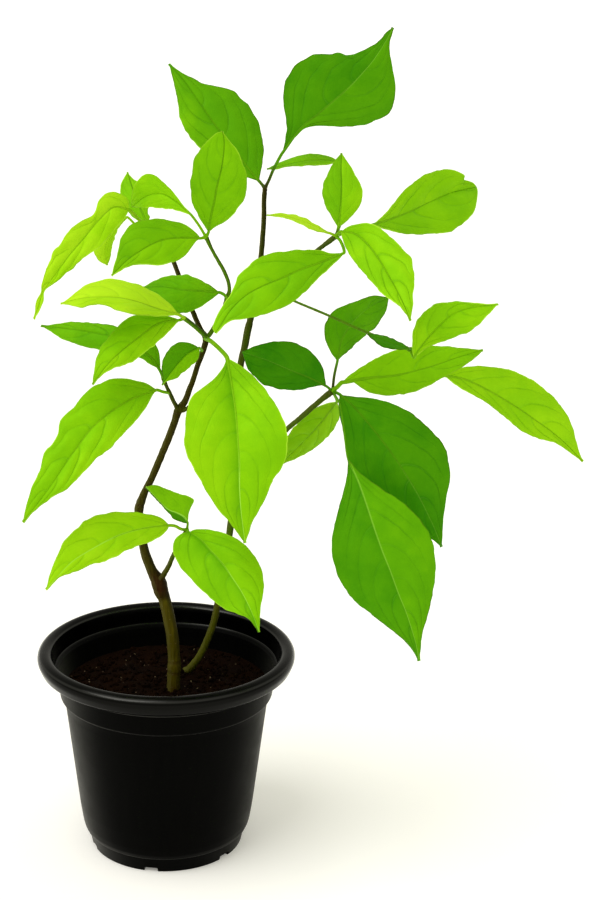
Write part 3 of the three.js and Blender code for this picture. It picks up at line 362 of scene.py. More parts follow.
        rib_shade=(-0.2, 0.0), rib_light=0.4, wave=0.4, lean=(0.1, 0.2), joint=TWIG_END, stalk=[],
        depth=(-29, -52, -72),
        rib=[(189, 532.5), (200, 539.3), (211.4, 551.4), (223, 564.3), (233, 578.6), (243, 594.3),
             (251.4, 611.4), (259, 632)],
        left=[(184, 532.8), (178, 536.4), (174.2, 541.4), (173.2, 550), (176.3, 560),
              (182.8, 569.5), (191.3, 578.8), (198.4, 586.6), (207, 594.6), (215.6, 602.2),
              (225.6, 609.4), (235.7, 613), (245.7, 617), (251.4, 621.6), (255, 627)],
        right=[(194, 529.8), (201, 529.2), (209, 529.5), (218.8, 531.5), (228.8, 535.2),
               (238.8, 540.5), (248.8, 549), (256.7, 559.8), (261.5, 570), (263.2, 580),
               (263.4, 591.4), (261.6, 603), (260.1, 613), (259.8, 623)],
    ),
    dict(
        node="leaf_18_front_large", slot="leaf_lime", tone=0.63, halves=(0.03, -0.04),
        rib_shade=(-0.28, 0.0), rib_light=0.75, wave=0.5, lean=(-0.12, -0.12), joint=THIRD_FORK,
        stout=1.45, stalk=[(211.8, 341.9, -8), (220.5, 349.8, -16)], depth=(-24, -66, -76),
        rib=[(227.2, 358), (231, 380), (235.5, 410), (238.2, 440), (239.4, 465), (239.6, 490),
             (241.5, 515), (245, 543)],
        left=[(223, 368), (213, 380), (200, 390), (192, 397), (187, 410), (185, 424), (184.4, 442),
              (187, 456), (196, 472.3), (206, 490), (215.2, 505.5), (227.5, 519.6), (235.8, 530.5),
              (241.5, 538.8)],
        right=[(233, 361), (240, 365.6), (250, 373), (260, 383), (272, 399), (282, 418), (286, 430),
               (287.4, 446), (286, 458), (280, 471), (273, 479.4), (268.4, 489.5), (263.8, 501),
               (257, 513.5), (251.8, 523), (249, 532)],
    ),
    dict(
        node="leaf_19_centre_long", slot="leaf_lime", tone=0.5, halves=(0.02, 0.0), rib_light=-0.3,
        wave=0.4, lean=(0.5, -0.4), joint=HUB_HIGH, stalk=[(341, 242, -19)], depth=(-22, -34, -50),
        rib=[(344, 253), (322, 262), (300, 270), (280, 279), (260, 287.5), (246.7, 295), (231, 310),
             (215.5, 333)],
        left=[(334, 253.6), (328.3, 252.7), (321.7, 250.8), (306.7, 250.1), (293.3, 250.5),
              (280, 252), (266.7, 255.2), (256.7, 259.8), (248, 266.5), (239, 275.8), (234.8, 285),
              (230.8, 294), (225.6, 301.7), (219.8, 310.8), (214, 323), (212.6, 328.3)],
        right=[(340, 258.3), (331.7, 265.8), (323.3, 273.7), (313.3, 283.3), (303.3, 293.3),
               (293.3, 301.8), (283.3, 307), (270, 312.2), (258.3, 316), (248.3, 318.5),
               (233.3, 320.3), (225, 324.4), (218.6, 331.2)],
    ),
    dict(
        node="leaf_20_high_up", slot="leaf_lime", tone=0.545, halves=(-0.07, 0.06), rib_light=-0.4,
        wave=0.3, lean=(-0.1, 0.2), joint=HUB_HIGH, woody=5, stalk=[], depth=(-15, -3, 16),
        rib=[(338.2, 227.3), (340, 215), (341.2, 200), (341.6, 185), (341.2, 170), (341.5, 153)],
        left=[(335.8, 223.8), (330, 213.8), (325.6, 205), (323, 197.5), (322.3, 191.5),
              (323.8, 183.8), (327.3, 175), (331.2, 167), (336, 159.4)],
        right=[(341.2, 225.6), (347.5, 220), (355, 212.7), (359.6, 206), (362.2, 197.5),
               (362.2, 191), (360, 183.8), (355.2, 175.6), (350, 166), (344.6, 158)],
    ),
    dict(
        node="leaf_21_right_long", slot="leaf_lime", tone=0.57, halves=(0.05, -0.04),
        rib_light=-0.05, wave=0.4, lean=(0.3, -0.3), joint=HUB_HIGH, stalk=[(350, 231, -8)],
        depth=(4, 36, 66),
        rib=[(372, 225), (390, 219.2), (408.3, 212.3), (430, 202), (452, 192.5), (476.7, 187)],
        left=[(380, 218.3), (390, 208.3), (398.3, 197.5), (406.7, 188.3), (416.7, 180),
              (426.7, 174.2), (436.7, 170.8), (446.7, 169.2), (453.3, 170.3), (460, 173),
              (464.6, 175.9), (462.4, 179.2), (468.3, 180.9), (473.3, 183.2)],
        right=[(381.7, 228), (393, 231.3), (403, 233.4), (417, 234.6), (430, 233.8), (443.3, 232.6),
               (450.5, 231.4), (458.3, 226.8), (465, 221.7), (471, 215.8), (475.2, 208),
               (477, 199.5), (477.6, 191.5)],
    ),
    dict(
        node="leaf_22_high_front", slot="leaf_yellow", tone=0.605, halves=(0.0, 0.0),
        rib_light=-0.3, wave=0.35, lean=(-0.3, 0.3), joint=HUB_HIGH, stalk=[],
        depth=(-20, -52, -80),
        rib=[(341, 231.5), (355, 234), (366.7, 243.3), (378.3, 258.3), (388.3, 275), (396.7, 290),
             (403.3, 303.3), (410.5, 320.5)],
        left=[(342.5, 238), (345, 246), (348.6, 253), (356.7, 264.4), (365, 274.4), (373.3, 283.6),
              (381.7, 292.8), (390, 299.4), (400, 306.9), (405, 312.6)],
        right=[(348.3, 226.8), (356.7, 224.3), (366.7, 223.2), (373.3, 224.6), (380, 228.3),
               (386.9, 234), (394.4, 240.6), (401.9, 248), (408.6, 255.6), (412.2, 261.7),
               (413.4, 270), (414.3, 281.7), (413.2, 295), (412.6, 306)],
    ),
    dict(
        node="leaf_23_high_left_thin", slot="leaf_yellow", tone=1.0, halves=(0.0, 0.0), rib_light=0,
        wave=0.2, lean=(2, -2), joint=HUB_HIGH, stalk=[], depth=(-17, -30, -44),
        rib=[(330, 233.2), (317, 227.8), (302, 221.5), (285, 216.6), (266.8, 215)],
        left=[(322.5, 228.8), (313.8, 223.3), (306, 219.2), (298.8, 216.3), (290, 214.4),
              (280, 213.6)],
        right=[(320, 231.8), (311.3, 229.6), (305, 226.5), (297.5, 222.2), (288.8, 219),
               (277.5, 216.8)],
    ),
    dict(
        node="leaf_24_high_back", slot="leaf_green", tone=0.48, halves=(0.0, 0.0), rib_light=-0.1,
        wave=0.2, lean=(1.6, -1.6), joint=HUB_HIGH, stalk=[(341, 222, -3), (346, 190, 22)],
        depth=(35, 40, 46),
        rib=[(338, 161.4), (325, 160.3), (307, 161), (290, 164), (278, 167), (266.8, 169)],
        left=[(332.5, 158), (325, 155.6), (317.5, 154.2), (307.5, 154.5), (297.5, 156.4),
              (287.5, 159.6), (277.5, 164)],
        right=[(333.8, 163), (323.8, 164.8), (311, 165.5), (298.8, 165.8), (286, 166.8),
               (277.5, 169)],
    ),
    dict(
        node="leaf_25_hub_left", slot="leaf_deep", tone=0.03, halves=(0.0, 0.0), rib_light=0.12,
        wave=0.4, lean=(0.3, -0.3), joint=HUB_LOW, stalk=[], depth=(-11, -18, -24),
        rib=[(326, 386), (310, 378), (290, 370), (270, 361.4), (256, 356.4), (242.6, 352)],
        left=[(325, 380), (323, 370), (319, 361), (312, 353), (304, 347), (294, 343), (284, 341.4),
              (272, 342.2), (260, 344.6), (250, 348)],
        right=[(320, 385.4), (310, 387.6), (300, 389.6), (286, 389.6), (274, 387.8), (262, 383),
               (254, 376), (248, 369), (244.6, 360)],
    ),
    dict(
        node="leaf_26_hub_up", slot="leaf_deep", tone=0.28, halves=(0.0, 0.02), rib_light=0.12,
        wave=0.4, lean=(-0.2, 0.3), joint=HUB_LOW, woody=17, stalk=[(334.2, 376, -4)],
        depth=(3, 24, 46),
        rib=[(337.4, 361), (341.4, 341), (353, 322), (370, 307), (388.6, 297.5)],
        left=[(332, 354), (327, 344), (324.4, 332), (326, 321), (332, 312.4), (342, 306.4),
              (354, 302), (366, 297.2), (375, 295.4)],
        right=[(342, 356.4), (350, 349.2), (358, 341.6), (366, 335), (376, 326), (382.2, 317),
               (386.4, 308)],
    ),
    dict(
        node="leaf_27_hub_right", slot="leaf_lime", tone=0.56, halves=(0.02, 0.0), rib_light=-0.2,
        wave=0.4, lean=(0.5, -0.5), joint=HUB_LOW, stout=1.4, stalk=[(337.4, 386.8, -9)],
        depth=(-9, 4, 22),
        rib=[(342, 382.4), (366, 378.4), (390, 376.2), (410, 372.4), (426, 368), (442, 363),
             (458, 357.4), (483, 350)],
        left=[(347, 377.2), (356, 371), (366, 364.2), (376, 358.6), (390, 352.2), (410, 347.6),
              (426, 346.2), (442, 346.2), (458, 347.8), (470, 349)],
        right=[(348, 380.6), (354, 382.8), (362, 388), (370, 392.4), (382, 395.2), (396, 395.2),
               (410, 392.6), (422, 388.6), (434, 382.4), (444, 377), (455, 371.6), (468, 363),
               (478, 355.6)],
    ),
    dict(
        node="leaf_28_right_up", slot="leaf_lime", tone=0.62, halves=(0.0, 0.0), rib_light=-0.08,
        wave=0.4, lean=(0.2, -0.2), joint=HUB_RIGHT, stalk=[], depth=(-26, -44, -62),
        rib=[(414, 357.6), (420, 348), (438, 327), (455, 313), (475, 307), (498, 304.4)],
        left=[(412.4, 348), (413.4, 332), (418, 319), (426, 310.4), (438, 303.4), (450, 302.2),
              (466, 302.2), (482, 303.6)],
        right=[(418, 354.6), (426, 348.2), (434, 344.6), (444, 340.6), (458, 335.8), (470, 331.2),
               (480, 323.2), (490, 312.6)],
    ),
    dict(
        node="leaf_29_far_right", slot="leaf_lime", tone=0.69, halves=(0.0, 0.0), rib_light=-0.35,
        wave=0.4, lean=(0.4, -0.4), joint=HUB_RIGHT, stalk=[(421, 343, 8), (434, 350, 34)],
        depth=(42, 62, 80),
        rib=[(445, 376), (462, 378.5), (478, 385), (494, 393.5), (510, 403), (524, 412), (538, 422),
             (552, 432), (566, 444), (583, 461.4)],
        left=[(450, 373.2), (458, 369.2), (466, 366.8), (478, 366.2), (494, 367.4), (510, 370),
              (524, 376), (536, 383), (550, 394), (560, 404.8), (568, 417), (573, 430),
              (575.6, 440), (579, 452)],
        right=[(452, 382.2), (462, 389.2), (474, 395.2), (486, 402.6), (496, 410), (506, 418),
               (514, 425), (524, 432), (535, 437.2), (546, 440.4), (558, 444.4), (568, 451),
               (577, 457.8)],
    ),
    dict(
        node="leaf_30_right_small", slot="leaf_deep", tone=0.08, halves=(0.0, 0.0), rib_light=0,
        wave=0.2, lean=(1.3, -1.3), joint=HUB_RIGHT, stalk=[], depth=(-25, -32, -38),
        rib=[(408, 349), (396, 345), (384, 341), (367.5, 334)],
        left=[(404, 344.6), (396, 340.6), (386, 336.6), (376, 334.4)],
        right=[(400, 349.6), (390, 348.8), (382, 346), (374, 341)],
    ),
    dict(
        node="leaf_31_hub_back", slot="leaf_lime", tone=0.67, halves=(-0.03, 0.03), rib_light=-0.2,
        wave=0.3, lean=(-0.1, 0.4), joint=HUB_LOW, stalk=[], depth=(2, 28, 52),
        rib=[(337, 402), (323, 420), (310, 435), (296, 449), (278.6, 466.4)],
        left=[(330, 402.6), (318, 407), (309, 413), (299, 421.5), (288, 436), (280, 453)],
        right=[(340, 410), (339, 418), (334, 428), (326, 438), (316, 447), (304, 454), (294, 459),
               (284, 463.4)],
    ),
    dict(
        node="leaf_32_hub_dark", slot="leaf_deep", tone=0.09, halves=(-0.02, 0.03), rib_light=0.15,
        wave=0.4, lean=(0.2, 0.3), joint=HUB_LOW, stalk=[], depth=(-13, -32, -36),
        rib=[(340, 394.6), (353, 406), (363, 417), (374.3, 430.5), (394.3, 457), (405.7, 474.3),
             (417, 493), (428.6, 515.7), (435.7, 531.4), (441.6, 547)],
        left=[(338.8, 404.3), (340.2, 417), (342.6, 427), (344.8, 441.4), (346.4, 454),
              (348.6, 464), (357, 482), (380, 507), (410, 530), (425, 537), (433.6, 539.9),
              (438.6, 544.5)],
        right=[(343, 395.3), (354.3, 396.7), (370, 398.2), (381.4, 400.5), (393, 404.2),
               (404.3, 409.7), (414.6, 415.5), (423.2, 423.3), (433, 432.7), (440.2, 440.5),
               (445.2, 449.8), (448.2, 460), (449.3, 470), (449.5, 481.5), (447.2, 491.6),
               (445.2, 503), (443.2, 518.6), (442.4, 532)],
    ),
    dict(
        node="leaf_33_bottom_large", slot="leaf_lime", tone=0.23, halves=(-0.08, 0.08),
        rib_light=0.28, wave=0.4, lean=(0.1, 0.2), joint=HUB_LOW, stout=0.55,
        stalk=[(339.4, 403, -20), (343.6, 427, -32)], depth=(-44, -72, -84),
        rib=[(348, 459.6), (356, 476), (363, 494), (370, 515), (375, 530), (382, 550), (390, 570),
             (398, 592), (406, 612), (412, 630), (416.6, 647), (419, 661)],
        left=[(348, 466), (347, 476), (344, 490), (339, 508), (335, 524), (332.4, 538),
              (331.9, 550), (334, 562), (338, 576), (343.8, 586), (350, 595), (358, 604),
              (370, 612.6), (380, 621), (392, 630.2), (406, 642), (413, 651)],
        right=[(352, 463), (356, 469), (366, 478), (380, 487.6), (394, 497.4), (406, 505.4),
               (418, 517.8), (427, 529.8), (432, 542), (434.7, 556), (435.1, 570), (434.5, 582),
               (432.2, 594), (429.2, 608), (425.4, 622), (421.8, 636), (420.6, 648)],
    ),
]


# ---------------------------------------------------------------- sizes and colours to change
POT_LOW, POT_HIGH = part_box("pot")
SOIL_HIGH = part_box("soil")[1]


class PotSettings(bpy.types.PropertyGroup):
    rim_radius: bpy.props.FloatProperty(
        name="Rim radius", description="Outside of the rolled rim",
        default=(POT_HIGH.x - POT_LOW.x) / 2, unit="LENGTH")
    height: bpy.props.FloatProperty(
        name="Height", description="From the surface up to the top of the rim",
        default=POT_HIGH.z, unit="LENGTH")
    plastic: bpy.props.FloatVectorProperty(
        name="Plastic", description="Colour of the moulded pot", subtype="COLOR", size=3,
        default=(0.0010, 0.0010, 0.0008))


class SoilSettings(bpy.types.PropertyGroup):
    level: bpy.props.FloatProperty(
        name="Level", description="Mean height of the soil's surface", default=0.098, unit="LENGTH")
    relief: bpy.props.FloatProperty(
        name="Relief", description="Height of its larger lumps", default=0.0016, unit="LENGTH")
    crumbs: bpy.props.IntProperty(
        name="Crumbs", description="How many loose crumbs lie on it", default=900)
    colour: bpy.props.FloatVectorProperty(
        name="Colour", description="Colour of the moist soil", subtype="COLOR", size=3,
        default=(0.0060, 0.0020, 0.0005))


class StemSettings(bpy.types.PropertyGroup):
    detail: bpy.props.FloatProperty(
        name="Detail", description="Size of the cells that the limbs are fused in",
        default=0.0004, unit="LENGTH")
    bark_relief: bpy.props.FloatProperty(
        name="Bark relief", description="Depth of the furrows in the bark",
        default=0.00018, unit="LENGTH")
    woody: bpy.props.FloatVectorProperty(
        name="Woody bark", description="Colour of the older stems", subtype="COLOR", size=3,
        default=(0.0150, 0.0112, 0.0025))
    young: bpy.props.FloatVectorProperty(
        name="Young bark", description="Colour of the green twigs", subtype="COLOR", size=3,
        default=(0.095, 0.24, 0.004))


class LeafSettings(bpy.types.PropertyGroup):
    thickness: bpy.props.FloatProperty(
        name="Thickness", description="Of a blade", default=0.0005, unit="LENGTH")
    stalk_radius: bpy.props.FloatProperty(
        name="Stalk radius", description="Of a leaf stalk at its foot", default=0.00088,
        unit="LENGTH")
    vein_spacing: bpy.props.FloatProperty(
        name="Vein spacing", description="Between two side veins of a large leaf", default=0.021,
        unit="LENGTH")
    quilting: bpy.props.FloatProperty(
        name="Quilting", description="How far a large blade swells between its veins",
        default=0.0005, unit="LENGTH")


class StageSettings(bpy.types.PropertyGroup):
    floor_radius: bpy.props.FloatProperty(
        name="Floor radius", description="Of the pale floor", default=40.0, unit="LENGTH")
    sky: bpy.props.FloatProperty(
        name="Soft light", description="Strength of the even light from all round", default=0.74)
    key: bpy.props.FloatProperty(
        name="Key light", description="Strength of the broad light from the upper left",
        default=1.5)


# ---------------------------------------------------------------- modelling helpers
def deselect_all():
    if bpy.context.object and bpy.context.object.mode != "OBJECT":
        bpy.ops.object.mode_set(mode="OBJECT")
    bpy.ops.object.select_all(action="DESELECT")


def pick(*objects):
    """Selects these objects only; the first is the active one."""
    deselect_all()
    for obj in objects:
        obj.select_set(True)
    bpy.context.view_layer.objects.active = objects[0]


@contextmanager
def editing(obj):
    """Edit mode on one object with all of it selected, and object mode again afterwards."""
    pick(obj)
    bpy.ops.object.mode_set(mode="EDIT")
    bpy.ops.mesh.select_all(action="SELECT")
    yield
    bpy.ops.object.mode_set(mode="OBJECT")


def close_up(threshold):
    """In edit mode: merges doubles and turns the faces outwards."""
    bpy.ops.mesh.select_all(action="SELECT")
    bpy.ops.mesh.remove_doubles(threshold=threshold)
    bpy.ops.mesh.normals_make_consistent(inside=False)


def apply_modifier(obj, kind, **settings):
    pick(obj)
    bpy.ops.object.modifier_add(type=kind)
    modifier = obj.modifiers[-1]
    for key, value in settings.items():
        setattr(modifier, key, value)
    bpy.ops.object.modifier_apply(modifier=modifier.name)


def join(objects):
    """Makes one object of several, and returns it."""
    pick(*objects)
    if len(objects) > 1:
        bpy.ops.object.join()
    return bpy.context.object


def new_object(name, data):
    obj = bpy.data.objects.new(name, data)
    bpy.context.collection.objects.link(obj)
    return obj


def read_vertices(mesh, what="co"):
    """The places of a mesh's vertices, or their normals, as rows."""
    rows = np.empty(len(mesh.vertices) * 3)
    mesh.vertices.foreach_get(what, rows)
    return rows.reshape(-1, 3)


def move_vertices(mesh, places):
    mesh.vertices.foreach_set("co", np.asarray(places, float).ravel())
    mesh.update()


def write_attribute(mesh, name, rows):
    """Stores three numbers for each vertex, for a material to read."""
    attribute = mesh.attributes.new(name, "FLOAT_VECTOR", "POINT")
    attribute.data.foreach_set("vector", rows.astype(np.float32).ravel())


def coat(obj, *materials):
    """Gives an object these materials and no others."""
    obj.data.materials.clear()
    for material in materials:
        obj.data.materials.append(material)


def smooth_shading(obj, degrees):
    pick(obj)
    bpy.ops.object.shade_smooth_by_angle(angle=math.radians(degrees))


def finish_piece(obj, name, slot, *nodes):
    """Names a finished piece, lets it ride on the part's one body and stand for its CAD nodes."""
    obj.name = name
    obj.data.name = name
    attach(obj, "root")
    if nodes:
        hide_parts(*nodes)


def finder(places):
    """A tree that finds the number of the nearest of these places."""
    tree = KDTree(len(places))
    for k, place in enumerate(places):
        tree.insert(place, k)
    tree.balance()
    return tree


def lengths(line):
    """The length of each step of a line."""
    return np.linalg.norm(np.diff(line, axis=0), axis=1)


def run_of(line):
    """How far along a line each of its points lies."""
    return np.concatenate([[0], np.cumsum(lengths(line))])


def smooth_path(points, per_span=12):
    """A dense line on a centripetal spline through points of any dimension."""
    points = np.asarray(points, float)
    before = 2 * points[0] - points[1]
    after = 2 * points[-1] - points[-2]
    p = np.vstack([before, points, after])
    line = []
    for i in range(1, len(p) - 2):
        p0, p1, p2, p3 = p[i - 1:i + 3]
        d0, d1, d2 = (
            max(np.linalg.norm(b - a), 1e-9) ** 0.5 for a, b in ((p0, p1), (p1, p2), (p2, p3)))
        start = ((p1 - p0) / d0 - (p2 - p0) / (d0 + d1) + (p2 - p1) / d1) * d1
        end = ((p2 - p1) / d1 - (p3 - p1) / (d1 + d2) + (p3 - p2) / d2) * d1
        s = np.linspace(0, 1, per_span, endpoint=False)[:, None]
        line.append(
            p1 + start * s
            + (-3 * p1 + 3 * p2 - 2 * start - end) * s**2
            + (2 * p1 - 2 * p2 + start + end) * s**3
        )
    return np.vstack([*line, points[-1:]])


def spaced(line, shares):
    """Points of a dense line at these shares of its length."""
    run = run_of(line)
    return np.stack([np.interp(shares, run / run[-1], column) for column in line.T], axis=1)


def tube(places, radii, name, sides):
    """A closed tube along a line; sides is the bevel resolution of its round section."""
    deselect_all()
    curve = bpy.data.curves.new(name, "CURVE")
    curve.dimensions = "3D"
    curve.bevel_depth = 1.0
    curve.bevel_resolution = sides
    curve.use_fill_caps = True
    spline = curve.splines.new("POLY")
    spline.points.add(len(places) - 1)
    for point, place, radius in zip(spline.points, places, radii):
        point.co = (*place, 1)
        point.radius = radius
    pick(new_object(name, curve))
    bpy.ops.object.convert(target="MESH")
    obj = bpy.context.object
    with editing(obj):
        close_up(1e-6)
    return obj


def turned(section, steps, name):
    """A solid of revolution from a closed section of (radius, height) points."""
    deselect_all()
    bpy.ops.mesh.primitive_circle_add(vertices=len(section), radius=1, location=(0, 0, 0))
    obj = bpy.context.object
    obj.name = name
    move_vertices(obj.data, [(r, 0, z) for r, z in section])
    with editing(obj):
        bpy.ops.mesh.spin(steps=steps, angle=2 * math.pi, center=(0, 0, 0), axis=(0, 0, 1))
        close_up(1e-5)
    return obj


def arc(centre, radius, start, end, steps):
    """Points of an arc in a section, from one angle to another in degrees."""
    angles = np.radians(np.linspace(start, end, steps + 1))
    return [(centre[0] + radius * math.cos(a), centre[1] + radius * math.sin(a)) for a in angles]


def rounded(section, radius, steps=3):
    """The closed section with its corners rounded, where its edges are long enough."""
    points = [np.array(p, float) for p in section]
    result = []
    for i, corner in enumerate(points):
        if corner[0] < 1e-6:
            result.append(tuple(corner))
            continue
        back, on = points[i - 1] - corner, points[(i + 1) % len(points)] - corner
        reach = min(radius, np.linalg.norm(back) * 0.4, np.linalg.norm(on) * 0.4)
        a = corner + back / np.linalg.norm(back) * reach
        b = corner + on / np.linalg.norm(on) * reach
        for k in range(steps + 1):
            s = k / steps
            result.append(tuple((1 - s) ** 2 * a + 2 * s * (1 - s) * corner + s * s * b))
    return result


# ---------------------------------------------------------------- material helpers
FLOAT = "NodeSocketFloat"


class Shade:
    """A node tree being wired: each call adds nodes, with sockets or values for their inputs."""

    def __init__(self, tree):
        self.tree = tree

    def feed(self, node, inputs):
        """Links a socket into each of these inputs, or sets it to a value."""
        for key, value in inputs.items():
            if isinstance(value, bpy.types.NodeSocket):
                self.tree.links.new(value, node.inputs[key])
            else:
                node.inputs[key].default_value = value

    def add(self, kind, inputs=None, **settings):
        node = self.tree.nodes.new(kind)
        for key, value in settings.items():
            setattr(node, key, value)
        self.feed(node, inputs or {})
        return node

    def math(self, operation, a, b=0.0, clamp=False):
        return self.add(
            "ShaderNodeMath", {0: a, 1: b}, operation=operation, use_clamp=clamp).outputs[0]

    def plus(self, a, b, clamp=False):
        return self.math("ADD", a, b, clamp)

    def less(self, a, b):
        return self.math("SUBTRACT", a, b)

    def times(self, a, b):
        return self.math("MULTIPLY", a, b)

    def ramp_up(self, value, low, high, to_low=0.0, to_high=1.0):
        """The value eased from one level to another, and held outside them."""
        return self.add("ShaderNodeMapRange", {
            "Value": value, "From Min": low, "From Max": high,
            "To Min": to_low, "To Max": to_high,
        }, interpolation_type="SMOOTHSTEP").outputs["Result"]

    def blend(self, share, a, b):
        """Colour a with this share of colour b laid over it."""
        a, b = (c if isinstance(c, bpy.types.NodeSocket) else (*c, 1) for c in (a, b))
        return self.add("ShaderNodeMix", {0: share, 6: a, 7: b}, data_type="RGBA").outputs[2]

    def object_place(self):
        return self.add("ShaderNodeTexCoord").outputs["Object"]

    def stretched(self, *scale):
        """The place on the object, scaled along each axis, so that a pattern runs long on some."""
        return self.add(
            "ShaderNodeMapping", {"Vector": self.object_place(), "Scale": scale}).outputs[0]

    def noise(self, scale, detail=4.0, vector=None):
        return self.add("ShaderNodeTexNoise", {
            "Scale": scale, "Detail": detail, "Roughness": 0.55,
            "Vector": vector or self.object_place()}).outputs["Fac"]

    def split(self, vector):
        """The three parts of a vector."""
        return list(self.add("ShaderNodeSeparateXYZ", {0: vector}).outputs)

    def attribute(self, name):
        """The three numbers that each vertex carries under a name."""
        return self.split(self.add("ShaderNodeAttribute", attribute_name=name).outputs["Vector"])

    def uv_map(self, name):
        return self.split(self.add("ShaderNodeUVMap", uv_map=name).outputs[0])[:2]

    def normal(self):
        return self.split(self.add("ShaderNodeNewGeometry").outputs["Normal"])

    def bump(self, height, distance, strength):
        return self.add("ShaderNodeBump", {
            "Height": height, "Distance": distance, "Strength": strength}).outputs["Normal"]


def new_group(name, inputs, outputs):
    """A shader node group with named number inputs, each with a default, and number outputs."""
    tree = bpy.data.node_groups.new(name, "ShaderNodeTree")
    for label, default in inputs:
        tree.interface.new_socket(label, in_out="INPUT", socket_type=FLOAT).default_value = default
    for label in outputs:
        tree.interface.new_socket(label, in_out="OUTPUT", socket_type=FLOAT)
    shade = Shade(tree)
    return shade, shade.add("NodeGroupInput").outputs, shade.add("NodeGroupOutput")


def grouped(shade, name, build, **inputs):
    """The outputs of the node group of that name, which is built once."""
    group = bpy.data.node_groups.get(name) or build(name)
    return shade.add("ShaderNodeGroup", inputs, node_tree=group).outputs


def new_material(name):
    material = bpy.data.materials.new(name)
    material.use_nodes = True
    tree = material.node_tree
    return material, Shade(tree), tree.nodes["Principled BSDF"]


def material_named(name, build, *args):
    """The material of that name, built once."""
    return bpy.data.materials.get(name) or build(name, *args)


def scaled(colour, by):
    return tuple(part * by for part in colour)


def build_mottling(name):
    """Cloudy variation of a surface, with a finer grain in it, from 0 to 1."""
    shade, given, out = new_group(name, [("Scale", 60.0), ("Grain", 0.3)], ["Mask"])
    cloud = shade.ramp_up(shade.noise(given["Scale"], detail=3.0), 0.32, 0.68)
    fine = shade.noise(shade.times(given["Scale"], 9.0), detail=2.0)
    mixed = shade.add("ShaderNodeMix", {0: given["Grain"], 2: cloud, 3: fine}).outputs[0]
    shade.feed(out, {"Mask": mixed})
    return shade.tree


def mottling(shade, scale, grain=0.3):
    return grouped(shade, "mottling", build_mottling, Scale=scale, Grain=grain)["Mask"]


def cloudy(shade, scale, amount):
    """Mottling about nought, that spreads over this amount."""
    return shade.times(shade.less(mottling(shade, scale), 0.5), amount)


# ---------------------------------------------------------------- the leaves' materials
LEAF_RAMP = (
    (0.0, (0.033, 0.214, 0.0012)),
    (0.33, (0.108, 0.370, 0.0016)),
    (0.6, (0.220, 0.546, 0.002)),
    (0.8, (0.325, 0.662, 0.004)),
    (1.0, (0.470, 0.778, 0.015)),
)
PALE_VEIN = (0.40, 0.78, 0.08)
DARK_RIB = (0.01, 0.06, 0.001)
PALE_RIM = (0.52, 0.86, 0.05)
DARK_RIM = (0.045, 0.065, 0.004)
UNDERSIDE = (0.34, 0.48, 0.06)
STALK_GREEN = (0.16, 0.36, 0.006)
STALK_BROWN = ((0.055, 0.030, 0.012), (0.030, 0.016, 0.008))
STALK_DEEPER, STALK_DEEP = 0.16, (0.01, 0.05, 0.001)
MATT = 0.03
# half widths in mm, of the midrib from base to tip and of a side vein from midrib to rim
RIB_WIDTH = (0.78, 0.32)
VEIN_WIDTH = (0.36, 0.14)
# side veins closer than the first distance, in mm, are faint, and wider than the second are full
FAINT_AND_FULL = (11.0, 20.0)
# the rim's own colour fades out between these distances from the margin, in mm
RIM_BAND = (0.75, 0.2)


def build_venation(name):
    """Masks of a blade's midrib, side veins and fine net, from its two UV maps and its look."""
    shade, _, out = new_group(
        name, [], ("Tone", "Rib Light", "Midrib", "Veins", "Vein Shade", "Net", "Rim", "Height"))
    tone, gap, rib_light = shade.attribute("look")
    phase, along = shade.uv_map("veins")
    to_rib, to_rim = shade.uv_map("edges")
    share = shade.math("DIVIDE", to_rib, shade.plus(shade.plus(to_rib, to_rim), 1e-5))

    # the midrib narrows towards the tip
    rib_width = shade.ramp_up(along, 0.0, 1.0, *RIB_WIDTH)
    midrib = shade.ramp_up(shade.math("DIVIDE", to_rib, rib_width), 1.0, 0.35)

    # side veins lie where the phase is whole, and thin out towards the rim
    wander = shade.times(shade.less(shade.noise(90.0, detail=2.0), 0.5), 0.16)
    turn = shade.math("FRACT", shade.plus(shade.plus(phase, wander), 0.5))
    apart = shade.times(shade.math("ABSOLUTE", shade.less(turn, 0.5)), gap)
    width = shade.ramp_up(share, 0.0, 0.95, *VEIN_WIDTH)
    patchy = shade.ramp_up(shade.noise(38.0, detail=2.0), 0.34, 0.62, 0.35, 1.0)
    stronger = shade.times(patchy, shade.ramp_up(gap, *FAINT_AND_FULL, 0.28, 1.0))
    fade = shade.times(shade.ramp_up(share, 0.95, 0.6), stronger)
    line = shade.times(shade.ramp_up(shade.math("DIVIDE", apart, width), 1.0, 0.3), fade)
    # valley: the hollow beside each side vein; it is sunk into the bump, and the top face also
    # darkens it as painted shade
    valley = shade.times(shade.ramp_up(apart, 2.0, 0.0), fade)

    # the net between them follows the veins
    flow = shade.add("ShaderNodeCombineXYZ", {
        0: shade.times(phase, shade.times(gap, 0.42)), 1: shade.times(to_rib, 0.3), 2: tone})
    cells = shade.add(
        "ShaderNodeTexVoronoi", {"Vector": flow.outputs[0], "Scale": 1.0, "Randomness": 0.9},
        feature="DISTANCE_TO_EDGE").outputs["Distance"]
    net = shade.ramp_up(cells, 0.09, 0.0)

    carved = shade.plus(shade.times(valley, 0.6), shade.times(line, 0.28))
    carved = shade.plus(carved, shade.times(net, 0.07))
    carved = shade.plus(carved, shade.times(midrib, shade.less(0.6, rib_light)))
    shade.feed(out, {
        "Tone": tone, "Rib Light": rib_light, "Midrib": midrib, "Veins": line, "Vein Shade": valley,
        "Net": net, "Rim": shade.ramp_up(to_rim, *RIM_BAND), "Height": shade.less(1.0, carved)})
    return shade.tree


